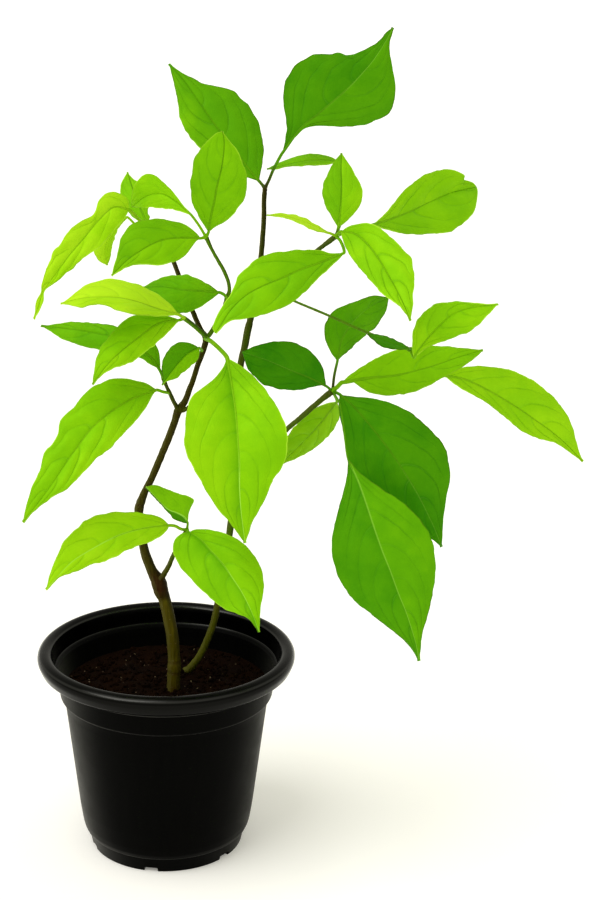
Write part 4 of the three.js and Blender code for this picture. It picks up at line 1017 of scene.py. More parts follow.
def tone_colour(shade, tone):
    """The blade's green for a tone from 0, deep, to 1, pale lime."""
    ramp = shade.add("ShaderNodeValToRGB", {"Fac": tone})
    elements = ramp.color_ramp.elements
    while len(elements) < len(LEAF_RAMP):
        elements.new(0.5)
    for element, (place, colour) in zip(elements, LEAF_RAMP):
        element.position = place
        element.color = (*colour, 1)
    return ramp.outputs["Color"]


def build_leaf_top(name):
    """Upper face: satin, its veins sunk in, its rim pale on a light leaf and dark on a deep one."""
    material, shade, surface = new_material(name)
    masks = grouped(shade, "venation", build_venation)
    tone = shade.plus(masks["Tone"], cloudy(shade, 45.0, 0.16))
    # painted shade: the tone is darkened in the hollows beside the side veins
    tone = shade.less(tone, shade.times(masks["Vein Shade"], 0.08))
    tone = shade.plus(tone, shade.times(masks["Net"], 0.02), clamp=True)
    colour = shade.blend(shade.times(masks["Veins"], 0.08), tone_colour(shade, tone), PALE_VEIN)

    lighter = shade.math("MAXIMUM", masks["Rib Light"], 0.0)
    darker = shade.math("MAXIMUM", shade.times(masks["Rib Light"], -1.0), 0.0)
    colour = shade.blend(shade.times(masks["Midrib"], lighter), colour, PALE_VEIN)
    colour = shade.blend(shade.times(masks["Midrib"], darker), colour, DARK_RIB)

    patches = shade.noise(42.0, detail=2.0)
    light_leaf = shade.ramp_up(masks["Tone"], 0.28, 0.55)
    pale = shade.times(light_leaf, shade.ramp_up(patches, 0.35, 0.6, 0.65, 0.2))
    colour = shade.blend(shade.times(pale, masks["Rim"]), colour, PALE_RIM)
    dark = shade.times(shade.ramp_up(light_leaf, 0.0, 1.0, 1.0, 0.4),
                       shade.ramp_up(patches, 0.40, 0.56, 0.1, 0.6))
    colour = shade.blend(shade.times(dark, masks["Rim"]), colour, DARK_RIM)
    shade.feed(surface, {
        "Base Color": colour,
        "Roughness": shade.ramp_up(mottling(shade, 120.0, 0.6), 0.2, 0.8, 0.46, 0.6),
        "Normal": shade.bump(masks["Height"], 0.0006, 0.6),
        "Metallic": 0.14,
        "Specular IOR Level": MATT,
    })
    return material


def build_leaf_under(name):
    """Lower face: paler and duller, its veins standing out."""
    material, shade, surface = new_material(name)
    masks = grouped(shade, "venation", build_venation)
    tone = shade.plus(masks["Tone"], cloudy(shade, 45.0, 0.12), clamp=True)
    colour = shade.blend(0.32, tone_colour(shade, tone), UNDERSIDE)
    veins = shade.math("MAXIMUM", masks["Veins"], masks["Midrib"])
    shade.feed(surface, {
        "Base Color": shade.blend(shade.times(veins, 0.45), colour, PALE_VEIN),
        "Roughness": shade.ramp_up(mottling(shade, 120.0, 0.6), 0.2, 0.8, 0.55, 0.7),
        "Normal": shade.bump(shade.times(masks["Height"], -1.0), 0.0006, 0.6),
        "Specular IOR Level": MATT,
    })
    return material


def build_stalk(name):
    """Leaf stalks: green with a fine grain, brown where the bark runs into them."""
    material, shade, surface = new_material(name)
    tone, _, woody = shade.attribute("look")
    tone = shade.plus(tone, cloudy(shade, 200.0, 0.2), clamp=True)
    green = shade.blend(0.3, tone_colour(shade, tone), STALK_GREEN)
    brown = shade.blend(mottling(shade, 400.0), *STALK_BROWN)
    shade.feed(surface, {
        "Base Color": shade.blend(STALK_DEEPER, shade.blend(woody, green, brown), STALK_DEEP),
        "Normal": shade.bump(shade.noise(900.0), 0.0002, 0.4),
        "Roughness": 0.4,
        "Metallic": 0.15,
        "Specular IOR Level": MATT,
    })
    return material


# ---------------------------------------------------------------- the bark's material
# colours in the furrows and on the ridges between them
OLIVE_BARK = ((0.036, 0.029, 0.0008), (0.120, 0.096, 0.004))
RED_BARK = ((0.014, 0.0050, 0.0012), (0.060, 0.022, 0.004))
HIGH_BARK = (0.006, 0.008, 0.001)
# the bark darkens upwards between these heights, in metres
HIGH_FROM, HIGH_TO = 0.27, 0.37
PORE = (0.20, 0.15, 0.08)
PAINTED_SHADED_SIDE = (0.005, 0.006, 0.001)
PAINTED_LIT_SIDE = (0.13, 0.125, 0.035)


def build_bark(name, settings):
    """Thin brown bark, darker high up, olive low down, green on young twigs and red at the knots.
    It has pale pores, with painted light on its left side and painted shade on its right side."""
    material, shade, surface = new_material(name)
    young, olive, red = shade.attribute("tint")
    grain = shade.noise(220.0, detail=5.0, vector=shade.stretched(3.0, 3.0, 0.5))
    colour = shade.blend(grain, scaled(settings.woody, 0.45), scaled(settings.woody, 1.7))
    colour = shade.blend(olive, colour, shade.blend(grain, *OLIVE_BARK))
    colour = shade.blend(red, colour, shade.blend(grain, *RED_BARK))
    height = shade.split(shade.object_place())[2]
    colour = shade.blend(shade.ramp_up(height, HIGH_FROM, HIGH_TO, 0.0, 0.5), colour, HIGH_BARK)
    green = shade.blend(grain, scaled(settings.young, 0.6), scaled(settings.young, 1.3))
    colour = shade.blend(young, colour, green)
    spots = shade.add(
        "ShaderNodeTexVoronoi", {"Vector": shade.stretched(1.0, 1.0, 1.6), "Scale": 330.0},
        feature="F1").outputs["Distance"]
    pores = shade.times(shade.ramp_up(spots, 0.2, 0.08), 0.35)
    colour = shade.blend(pores, colour, PORE)
    # painted shade on the side that faces right and painted light on the side that faces left, as
    # the key light falls from the left
    rightwards = shade.normal()[0]
    colour = shade.blend(shade.ramp_up(rightwards, 0.1, 0.8, 0.0, 0.6), colour, PAINTED_SHADED_SIDE)
    colour = shade.blend(shade.ramp_up(rightwards, -0.2, -0.55, 0.0, 0.32), colour, PAINTED_LIT_SIDE)
    shade.feed(surface, {
        "Base Color": colour,
        "Roughness": shade.ramp_up(grain, 0.2, 0.8, 0.38, 0.62),
        "Normal": shade.bump(shade.plus(grain, shade.times(pores, 1.5)), 0.00035, 0.7),
        "Specular IOR Level": MATT,
    })
    return material


# ---------------------------------------------------------------- the pot's material
DUST = (0.05, 0.045, 0.040)
PAINTED_SHEEN = (0.054, 0.053, 0.048)
POLISHED_PLASTIC = (0.0072, 0.0072, 0.0066)
PAINTED_HIGHLIGHT_BAND = (0.032, 0.032, 0.030)
# the rolled rim is polished: above this height and beyond this distance from the axis, in metres
POLISHED_ABOVE = (0.1085, 0.1095)
POLISHED_BEYOND = (0.0645, 0.0655)


def build_plastic(name, settings):
    """Moulded black plastic: satin, faintly streaked up the wall, with a little dust. Its rolled
    rim is polished, with a painted highlight in a band that faces half upwards, and a painted sheen
    at its edges that is weaker on its right side."""
    material, shade, surface = new_material(name)
    upwards = shade.normal()[2]
    streaks = shade.noise(60.0, vector=shade.stretched(4.0, 4.0, 0.35))
    specks = shade.ramp_up(shade.noise(900.0, detail=3.0), 0.62, 0.75)
    dust = shade.times(specks, shade.ramp_up(upwards, -0.2, 0.9, 0.03, 0.22))
    colour = shade.blend(streaks, scaled(settings.plastic, 0.6), scaled(settings.plastic, 1.5))
    colour = shade.blend(dust, colour, DUST)

    place = shade.object_place()
    across, _, height = shade.split(place)
    # painted sheen: the colour pales at grazing edges, and less so towards the right side, where
    # less light falls
    edge = shade.add("ShaderNodeLayerWeight", {"Blend": 0.5}).outputs["Facing"]
    sheen = shade.math("POWER", shade.ramp_up(edge, 0.3, 0.95), 1.5)
    sheen = shade.times(sheen, shade.ramp_up(across, -0.03, 0.05, 1.0, 0.45))
    colour = shade.blend(sheen, colour, PAINTED_SHEEN)

    level = shade.add(
        "ShaderNodeVectorMath", {0: place, 1: (1.0, 1.0, 0.0)}, operation="MULTIPLY").outputs[0]
    from_axis = shade.add("ShaderNodeVectorMath", {0: level}, operation="LENGTH").outputs["Value"]
    polished = shade.times(
        shade.ramp_up(height, *POLISHED_ABOVE), shade.ramp_up(from_axis, *POLISHED_BEYOND))
    colour = shade.blend(polished, colour, POLISHED_PLASTIC)
    # painted highlight: the polished rim reflects more in a band that faces half upwards, where the
    # light would catch it
    highlight_band = shade.times(shade.ramp_up(upwards, 0.42, 0.56), shade.ramp_up(upwards, 0.78, 0.64))
    colour = shade.blend(shade.times(highlight_band, polished), colour, PAINTED_HIGHLIGHT_BAND)

    satin = shade.ramp_up(mottling(shade, 70.0, 0.5), 0.1, 0.9, 0.33, 0.45)
    rough = shade.plus(shade.less(satin, shade.times(polished, 0.2)), shade.times(dust, 0.5))
    grain = shade.plus(shade.noise(2200.0, detail=2.0), shade.times(streaks, 0.6))
    shade.feed(surface, {
        "Base Color": colour,
        "Metallic": polished,
        "Roughness": rough,
        "Normal": shade.bump(grain, 0.0001, 0.35),
        "Specular IOR Level": 0.02,
        "Specular Tint": (0.75, 0.75, 0.75, 1),
    })
    return material


# ---------------------------------------------------------------- materials of soil and floor
PALE_SPECK = (0.10, 0.055, 0.028)
GRAINS = ((0.030, 0.015, 0.008), (0.24, 0.17, 0.10))
FLOOR_WHITES = ((0.93, 0.925, 0.90), (0.95, 0.945, 0.92))
FLOOR_GLOW, FLOOR_GLOW_COLOUR = 0.2, (1.0, 0.97, 0.9, 1)


def build_soil(name, settings):
    """Moist potting soil: dark brown, with damper and drier patches and pale specks."""
    material, shade, surface = new_material(name)
    damp = mottling(shade, 70.0, 0.5)
    colour = shade.blend(damp, scaled(settings.colour, 0.35), scaled(settings.colour, 1.7))
    specks = shade.ramp_up(shade.noise(1500.0, detail=1.0), 0.74, 0.80)
    height = shade.plus(shade.noise(500.0, detail=5.0), shade.noise(1600.0, detail=3.0))
    shade.feed(surface, {
        "Base Color": shade.blend(shade.times(specks, 0.4), colour, PALE_SPECK),
        "Roughness": shade.ramp_up(damp, 0.2, 0.8, 0.7, 0.95),
        "Normal": shade.bump(height, 0.0006, 0.9),
        "Specular IOR Level": MATT,
    })
    return material


def build_grain(name):
    """Sand and bark grains, paler than the soil."""
    material, shade, surface = new_material(name)
    shade.feed(surface, {
        "Base Color": shade.blend(mottling(shade, 160.0), *GRAINS),
        "Roughness": 0.8,
        "Specular IOR Level": 0.2,
    })
    return material


def build_floor(name):
    """A plain pale floor that glows a little, like a lit table, so only the tight shadow shows."""
    material, shade, surface = new_material(name)
    shade.feed(surface, {
        "Base Color": shade.blend(shade.noise(6.0, detail=2.0), *FLOOR_WHITES),
        "Roughness": 0.9,
        "Specular IOR Level": 0.0,
        "Emission Color": FLOOR_GLOW_COLOUR,
        "Emission Strength": FLOOR_GLOW,
    })
    return material


# ---------------------------------------------------------------- the pot
# lengths in mm, of the pot as it is drawn here
DRAWN_RADIUS = 75
DRAWN_HEIGHT = 123.5
POT_STEPS = 144
FLOOR_TOP = 6.2
INNER_WALL = [
    (43, FLOOR_TOP), (46, 9.5), (48.2, 17.5), (57.4, 92), (58.6, 95.2), (60.8, 98), (62.2, 104),
    (63.2, 109.4), (66.0, 111.2),
]
NOTCHES = 6
NOTCH_TURN = math.radians(-102)
NOTCH_SIZE = (12, 8, 5.2)
NOTCH_ROUNDING = 0.7
NOTCH_FROM_AXIS = 44.4
DRAIN_RADIUS = 4
DRAIN_FROM_AXIS = 29


def pot_section():
    """The pot's section: foot ring, tapered wall, collar, rolled rim, inner wall and floor."""
    bead = arc((71.2, 118.4), 4.5, -20, 150, 14)
    return [
        (0, 0), (12, 0), (12, 3.8), (41.6, 3.8), (41.6, 0), (45.3, 0), (47.3, 9.2), (48.6, 9.7),
        (49.8, 12.4), (50.6, 16), (52.1, 26), (59.5, 87.5), (60.2, 94.4), (62.3, 94.9),
        (62.8, 95.8), (63.9, 107.2), (64.6, 107.6), (66.4, 109.7), (70.8, 110.9), (73.9, 113.1),
        *bead, (66.9, 118.2), (66.4, 114), *reversed(INNER_WALL), (0, FLOOR_TOP),
    ]


def cut_away(obj, cutters):
    """Subtracts the cutters from the object and deletes them."""
    cutter = join(cutters)
    apply_modifier(obj, "BOOLEAN", operation="DIFFERENCE", object=cutter, solver="EXACT")
    bpy.data.objects.remove(cutter)


def round_the_foot(k):
    """The angle of a notch by its number; a half lies midway between two notches."""
    return NOTCH_TURN + k * 2 * math.pi / NOTCHES


def foot_notches():
    """Rounded blocks that cut the drainage notches into the foot ring."""
    cutters = []
    for k in range(NOTCHES):
        deselect_all()
        bpy.ops.mesh.primitive_cube_add(size=1, location=(0, 0, 0))
        cutter = bpy.context.object
        with editing(cutter):
            bpy.ops.transform.resize(value=tuple(side * MM for side in NOTCH_SIZE))
            bpy.ops.mesh.bevel(offset=NOTCH_ROUNDING * MM, segments=2)
        turn = Matrix.Rotation(round_the_foot(k), 4, "Z")
        cutter.data.transform(turn @ Matrix.Translation((NOTCH_FROM_AXIS * MM, 0, 0)))
        cutters.append(cutter)
    return cutters


def drain_holes():
    """Rods that cut the drain holes through the pot's floor."""
    cutters = []
    for k in range(NOTCHES):
        angle = round_the_foot(k + 0.5)
        reach = DRAIN_FROM_AXIS * MM
        deselect_all()
        bpy.ops.mesh.primitive_cylinder_add(
            vertices=24, radius=DRAIN_RADIUS * MM, depth=25 * MM,
            location=(reach * math.cos(angle), reach * math.sin(angle), 6 * MM))
        pick(bpy.context.object)
        bpy.ops.object.transform_apply(location=True, rotation=True, scale=True)
        cutters.append(bpy.context.object)
    return cutters


class PLANT_OT_pot(bpy.types.Operator):
    """Turn the nursery pot with its rolled rim, collar, foot notches and drain holes"""
    bl_idname = "plant.make_pot"
    bl_label = "Pot"

    def execute(self, context):
        sizes = context.scene.plant_pot
        wide = sizes.rim_radius / DRAWN_RADIUS
        high = sizes.height / DRAWN_HEIGHT
        section = [(r * wide, z * high) for r, z in rounded(pot_section(), 0.5)]
        pot = turned(section, POT_STEPS, "nursery_pot")
        cut_away(pot, foot_notches() + drain_holes())
        coat(pot, material_named("black_plastic", build_plastic, sizes))
        smooth_shading(pot, 35)
        finish_piece(pot, "nursery_pot", "pot", "pot")
        return {"FINISHED"}


# ---------------------------------------------------------------- the soil
# lengths in mm; lumps, clods and grains come this often in a metre
SOIL_RINGS = 72
SOIL_STEPS = 200
SOIL_CLEARANCE = 0.3
SOIL_FOOT = 6.6
SOIL_EDGE = 8
MOUND_HEIGHT = 1.2
MOUND_REACH = 9
LUMPS_OFTEN, CLODS_OFTEN, GRAINS_OFTEN = 70, 210, 900


def inner_radius(height):
    """Radius of the pot's inner wall at a height, both in mm."""
    radii, heights = zip(*INNER_WALL)
    return float(np.interp(height, heights, radii))


def soil_height(x, y, edge, relief):
    """How far the soil stands above or below its level at a place, in metres."""
    place = Vector((x, y, 0))
    lumps = noise.fractal(place * LUMPS_OFTEN, 0.7, 2.0, 4) * relief
    clods = abs(noise.noise(place * CLODS_OFTEN)) * relief * 1.1
    grains = noise.fractal(place * GRAINS_OFTEN, 0.9, 2.0, 3) * relief * 0.35
    inside = min(1, max(0, (edge - math.hypot(x, y)) / (SOIL_EDGE * MM)))
    return lumps * inside + (clods + grains) * (0.35 + 0.65 * inside)


def make_soil_plug(sizes):
    """The soil as one turned plug, its top lumpy and banked up a little at the trunk."""
    level = sizes.level / MM
    edge = inner_radius(level) - SOIL_CLEARANCE
    wall = [(r - SOIL_CLEARANCE, z) for r, z in INNER_WALL if FLOOR_TOP < z < level]
    top = [(edge * (1 - k / SOIL_RINGS), level) for k in range(SOIL_RINGS + 1)]
    section = [(0, SOIL_FOOT), (INNER_WALL[0][0] - SOIL_CLEARANCE, SOIL_FOOT), *wall, *top]
    plug = turned([(r * MM, z * MM) for r, z in section], SOIL_STEPS, "potting_soil")
    foot = at(*TRUNK_FOOT)[0]
    places = read_vertices(plug.data)
    for place in places:
        x, y, z = place
        if z > sizes.level - 1e-6:
            from_trunk = math.hypot(x - foot[0], y - foot[1])
            mound = math.exp(-(from_trunk / (MOUND_REACH * MM)) ** 2) * MOUND_HEIGHT * MM
            place[2] = sizes.level + soil_height(x, y, edge * MM, sizes.relief) + mound
    move_vertices(plug.data, places)
    coat(plug, material_named("moist_soil", build_soil, sizes))
    smooth_shading(plug, 60)
    return plug, edge * MM


def base_crumb(seed):
    """One lump: a small ball whose corners are pulled in and out."""
    deselect_all()
    bpy.ops.mesh.primitive_ico_sphere_add(subdivisions=1, radius=1, location=(0, 0, 0))
    crumb = bpy.context.object
    draw = random.Random(seed)
    places = read_vertices(crumb.data)
    for place in places:
        place *= draw.uniform(0.65, 1.25)
    move_vertices(crumb.data, places)
    return crumb


def scatter_crumbs(plug, edge, count, seed, radii, stretch, name):
    """Lays copies of a few lumps on the soil, sunk in a little, as one mesh."""
    draw = random.Random(seed)
    kinds = [base_crumb(seed + k) for k in range(4)]
    ground = read_vertices(plug.data)
    tops = ground[:, 2]
    near = finder(ground * (1, 1, 0))
    whole = bmesh.new()
    for _ in range(count):
        reach = (edge - 1.5 * MM) * math.sqrt(draw.random())
        angle = draw.uniform(0, 2 * math.pi)
        x, y = reach * math.cos(angle), reach * math.sin(angle)
        top = max(tops[k] for _, k, _ in near.find_n((x, y, 0), 3))
        radius = draw.uniform(*radii) * MM
        size = Matrix.Diagonal((radius * draw.uniform(1, stretch), radius, radius * 0.8, 1))
        turn = Euler([draw.uniform(0, 6.28) for _ in range(3)]).to_matrix().to_4x4()
        seat = Matrix.Translation((x, y, top + radius * 0.15))
        lump = draw.choice(kinds).data.copy()
        lump.transform(seat @ turn @ size)
        whole.from_mesh(lump)
        bpy.data.meshes.remove(lump)
    mesh = bpy.data.meshes.new(name)
    whole.to_mesh(mesh)
    whole.free()
    for kind in kinds:
        bpy.data.objects.remove(kind)
    return new_object(name, mesh)


class PLANT_OT_soil(bpy.types.Operator):
    """Fill the pot with lumpy soil and strew crumbs and grains over it"""
    bl_idname = "plant.make_soil"
    bl_label = "Soil"

    def execute(self, context):
        sizes = context.scene.plant_soil
        plug, edge = make_soil_plug(sizes)
        crumbs = scatter_crumbs(plug, edge, sizes.crumbs, 11, (0.5, 1.7), 1.5, "soil_crumbs")
        coat(crumbs, plug.data.materials[0])
        grains = scatter_crumbs(plug, edge, sizes.crumbs // 12, 29, (0.22, 0.5), 2.2, "soil_grains")
        coat(grains, material_named("soil_grain", build_grain))
        finish_piece(plug, "potting_soil", "soil", "soil")
        finish_piece(crumbs, "soil_crumbs", "soil")
        finish_piece(grains, "soil_grains", "soil")
        return {"FINISHED"}


# ---------------------------------------------------------------- the stems
# lengths and heights in metres
LIMB_STEP = 0.0008
BARK_RING_WIDTH = 0.0016
SCAR_DEPTH = 0.00016
OLIVE_BELOW, OLIVE_FADE = 0.1585, 0.004
RED_BELOW, RED_FADE = 0.106, 0.012
KNOB_REACH = 0.0085
# how many times a change of radius counts in the spacing of a limb's line
RADIUS_WEIGHT = 4


def limb_line(points, root=None):
    """A limb's centre line and radii in metres, densely, with its root in the soil first."""
    places = np.vstack([at(*p[:3]) for p in points])
    radii = np.array([p[3] for p in points], float)[:, None] * MM
    if root:
        start, radius = root
        foot = at(*start)[0]
        level = SOIL_HIGH.z - MM
        heights = (level - (ROOT_DEPTH - 1) * MM, level - 12 * MM, level + 0.5 * MM)
        places = np.vstack([[(foot[0], foot[1], z) for z in heights], places])
        radii = np.vstack([[[radius * MM]] * 3, radii])
    line = smooth_path(np.hstack([places, radii * RADIUS_WEIGHT]), 10)
    steps = max(8, int(lengths(line[:, :3]).sum() / LIMB_STEP))
    line = spaced(line, np.linspace(0, 1, steps))
    return line[:, :3], line[:, 3] / RADIUS_WEIGHT


def make_stem(name, limbs, root, rings, sizes):
    """Fuses the limbs into one smooth body and works furrows and leaf scars into its bark."""
    parts = []
    samples = []
    for k, (green, greener, points) in enumerate(limbs):
        places, radii = limb_line(points, root if k == 0 else None)
        parts.append(tube(places, radii, f"{name}_limb", 6))
        share = np.linspace(0, 1, len(places))
        samples += list(zip(places, radii, green + (greener - green) * share))
    stem = join(parts)
    apply_modifier(stem, "REMESH", mode="VOXEL", voxel_size=sizes.detail)
    apply_modifier(stem, "SMOOTH", factor=0.5, iterations=3)

    nearest = finder([sample[0] for sample in samples])
    knots = [Vector(at(*p)[0]) for p in rings]
    fork = Vector(at(*FIRST_FORK)[0])
    places = read_vertices(stem.data)
    normals = read_vertices(stem.data, "normal")
    tints = np.zeros_like(places)
    for k, (place, normal) in enumerate(zip(places, normals)):
        spot = Vector(place)
        _, radius, young = samples[nearest.find(spot)[1]]
        furrow = noise.noise(Vector((spot.x * 900, spot.y * 900, spot.z * 160)))
        depth = sizes.bark_relief * furrow * min(1, radius / 0.002)
        past_ring = min((spot - knot).length for knot in knots) - 0.6 * BARK_RING_WIDTH - radius
        scar = math.exp(-(past_ring / (0.35 * BARK_RING_WIDTH)) ** 2)
        place += normal * (depth - scar * SCAR_DEPTH)
        wander = noise.noise(spot * 60) * 0.15
        olive = max(0.0, min(1.0, (OLIVE_BELOW - spot.z) / OLIVE_FADE + wander * 4))
        knob = math.exp(-((spot - fork).length / KNOB_REACH) ** 4)
        tints[k] = (
            min(1, max(0, young + wander * min(1, young * 4))) * (1 - knob) * (1 - 0.8 * olive),
            max(olive * (1 - knob), 0.45 - 0.3 * knob),
            min(1, scar * 0.5 + knob + max(0, (RED_BELOW - spot.z) / RED_FADE)),
        )
    move_vertices(stem.data, places)
    write_attribute(stem.data, "tint", np.clip(tints, 0, 1))
    coat(stem, material_named("thin_bark", build_bark, sizes))
    pick(stem)
    bpy.ops.object.shade_smooth()
    return stem


class PLANT_OT_stems(bpy.types.Operator):
    """Grow the main stem and the side stem, each with its branches and twigs"""
    bl_idname = "plant.make_stems"
    bl_label = "Stems"

    def execute(self, context):
        sizes = context.scene.plant_stems
        main_rings = [FIRST_FORK, ELBOW, SECOND_FORK, THIRD_FORK, LEFT_END, RIGHT_END, TWIG_END,
                      (174.6, 667, -8), DARK_LEAF_JOINT]
        side_rings = [LOW_BRANCH_START, MID_BRANCH_START, TOP_FORK, HUB_LOW, HUB_HIGH, HUB_RIGHT,
                      (250.5, 318, 18)]
        for name, limbs, root, rings in (
            ("main_stem", MAIN_LIMBS, (TRUNK_FOOT, TRUNK_RADIUS), main_rings),
            ("side_stem", SIDE_LIMBS, (SIDE_FOOT, SIDE_STEM_RADIUS), side_rings),
        ):
            stem = make_stem(name, limbs, root, rings, sizes)
            finish_piece(stem, f"{name}_bark", "bark", name)
        return {"FINISHED"}


# ---------------------------------------------------------------- the leaves
BLADE_ALONG = 72
BLADE_ACROSS = 32
WAVES = 2.5
WAVE_STARTS = (0.4, 2.2)
FLUTTER = 0.22
PILLOW = 0.035
BASE_HALF_WIDTH = 0.35
TIP_HALF_WIDTH = 0.35
MARGIN_WANDER = 0.7
MARGIN_SPREAD = 0.14
VEIN_ARCH = 0.37
# the right half's side veins start this share of a gap later than the left half's
VEIN_STAGGER = 0.45
# blades wider to one side than this, and with wider gaps than this, in metres, are fully quilted
FULL_HALF_WIDTH = 0.018
FULL_GAP = 0.0155
GROOVE_DEPTH = 0.28
GROOVE_WIDTH = 0.9
BESIDE_REACH = 4.5
# the stalk runs on under the blade this far, sunk in by so many mm
RIB_END = 0.93
RIB_SINK = 0.42


def through(three, t):
    """A value that runs smoothly through three others, at 0, 1/2 and 1."""
    start, middle, end = three
    return start * (1 - t) * (1 - 2 * t) + middle * 4 * t * (1 - t) + end * t * (2 * t - 1)


def unit(rows):
    return rows / np.maximum(np.linalg.norm(rows, axis=-1, keepdims=True), 1e-12)


class Blade:
    """The lay of one blade: for each station from base to tip, its midrib and its two halves."""

    def __init__(self, leaf, stations):
        self.t = stations
        base, tip = leaf["rib"][0], leaf["rib"][-1]
        rib = spaced(smooth_path(leaf["rib"]), stations)
        depth = through(leaf["depth"], stations)
        self.middle = at(*rib.T, depth)
        self.halves = []
        for side, lean in zip(("left", "right"), leaf["lean"]):
            margin = spaced(smooth_path([base, *leaf[side], tip]), stations).T
            reach = np.linalg.norm(at(*margin, depth) - self.middle, axis=1) / MM
            self.halves.append(at(*margin, depth + lean * reach) - self.middle)
        self.length = lengths(self.middle).sum()
        widthwise = unit(self.halves[1] - self.halves[0])
        widthwise[-3:] = widthwise[-4]
        widthwise[:2] = widthwise[2]
        above = unit(np.cross(unit(np.gradient(self.middle, axis=0)), widthwise))
        centre = len(stations) // 2
        self.turn = 1 if above[centre] @ (VIEW_EYE - self.middle[centre]) > 0 else -1
        self.above = above * self.turn
        blunt = min(0.9, TIP_HALF_WIDTH + 4.5 * self.length)
        narrowest = np.where(stations < 0.5, BASE_HALF_WIDTH, blunt) * MM
        hump = np.sin(math.pi * stations) ** 0.5
        for half, sign in zip(self.halves, (-1, 1)):
            wander = np.array([
                noise.fractal(Vector((t * self.length * 190, sign * 3, base[0])), 0.9, 2.0, 2)
                for t in stations])
            spread = (MARGIN_SPREAD + wander * MARGIN_WANDER) * hump
            half += widthwise * (spread * MM * sign)[:, None]
            short = np.linalg.norm(half, axis=1) < narrowest
            half[short] = widthwise[short] * narrowest[short, None] * sign
        self.widths = [np.linalg.norm(half, axis=1) for half in self.halves]
        self.half_width = max(width.max() for width in self.widths)


def shape_blade(leaf, sizes):
    """A sheet with the leaf's outline, crease, waves and quilting, and its vein maps."""
    deselect_all()
    bpy.ops.mesh.primitive_grid_add(
        x_subdivisions=BLADE_ACROSS, y_subdivisions=BLADE_ALONG, size=2, location=(0, 0, 0))
    sheet = bpy.context.object
    mesh = sheet.data
    flat = read_vertices(mesh)
    up = np.round((flat[:, 1] + 1) / 2, 6)
    stations = np.unique(up)
    lay = Blade(leaf, stations)
    row = np.searchsorted(stations, up)
    across = np.sign(flat[:, 0]) * np.abs(flat[:, 0]) ** 1.25
    share = np.abs(across)
    left = across <= 0
    off_rib = share > 0
    t = stations[row]
    half = np.where(left[:, None], lay.halves[0][row], lay.halves[1][row])
    width = np.where(left, lay.widths[0][row], lay.widths[1][row])
    grown = min(1.0, lay.half_width / FULL_HALF_WIDTH)

    # side veins leave the midrib at whole phases and arch towards the tip
    count = max(4, round(lay.length / sizes.vein_spacing))
    gap = lay.length / count
    arch = VEIN_ARCH * share**2.1 * lay.half_width / lay.length * 6
    plain = count * (t - arch)
    phase = plain + np.where(left, 0.0, VEIN_STAGGER)

    # how far each place is lifted off the flat: waves, flutter, swell, quilting, and the groove
    hump = np.sin(math.pi * t)
    starts = np.where(left, *WAVE_STARTS)
    ripple = leaf["wave"] * MM * share**2 * hump * np.sin(2 * math.pi * WAVES * t + starts)
    flutter = FLUTTER * MM * share**4 * hump * np.sin(2 * math.pi * count * 1.3 * t + 3 * starts)
    swell = 4 * PILLOW * share * (1 - share) * width
    relief = sizes.quilting * grown * min(1.5, (gap / FULL_GAP) ** 1.5)
    edge_fade = np.sin(math.pi * np.clip(share, 0, 1)) ** 0.6 * hump ** 0.9
    quilt = relief * (np.abs(np.sin(math.pi * phase)) ** 0.8 - 0.5) * edge_fade
    sunk = GROOVE_DEPTH * (1 - max(leaf["rib_light"], 0)) * MM * grown
    groove = -sunk * np.exp(-(share * width / (GROOVE_WIDTH * MM)) ** 2)
    lift = ripple + flutter + swell + quilt + groove
    move_vertices(
        mesh, lay.middle[row] + half * share[:, None] + lay.above[row] * lift[:, None])

    # vein maps, with the two halves apart along the midrib, in gaps and in mm
    corners = np.empty(len(mesh.loops), int)
    mesh.loops.foreach_get("vertex_index", corners)
    on_right = (across[corners].reshape(-1, 4).mean(axis=1) > 0).repeat(4)
    while mesh.uv_layers:
        mesh.uv_layers.remove(mesh.uv_layers[0])
    for name, u, v in (
        ("veins", plain[corners] + np.where(on_right, VEIN_STAGGER, 0.0), t[corners]),
        ("edges", (share * width)[corners] / MM, ((1 - share) * width)[corners] / MM),
    ):
        layer = mesh.uv_layers.new(name=name)
        layer.data.foreach_set("uv", np.stack([u, v], axis=1).astype(np.float32).ravel())

    look = np.tile([leaf["tone"], gap / MM, leaf["rib_light"]], (len(flat), 1))
    near_rib = np.exp(-share * width / (BESIDE_REACH * MM)) * off_rib
    # painted light and shade: a half's tone is raised or lowered as if it faced towards or away
    # from the light
    look[:, 0] += np.where(left, *leaf["halves"]) * off_rib
    # painted shade next to the midrib, where a half dips into the fold
    look[:, 0] += np.where(left, *leaf.get("rib_shade", (0.0, 0.0))) * near_rib
    write_attribute(mesh, "look", look)

    if lay.turn > 0:
        with editing(sheet):
            bpy.ops.mesh.flip_normals()
    coat(sheet, material_named("leaf_top", build_leaf_top),
         material_named("leaf_under", build_leaf_under))
    apply_modifier(sheet, "SOLIDIFY", thickness=sizes.thickness, offset=0, material_offset=1)
    return sheet, lay


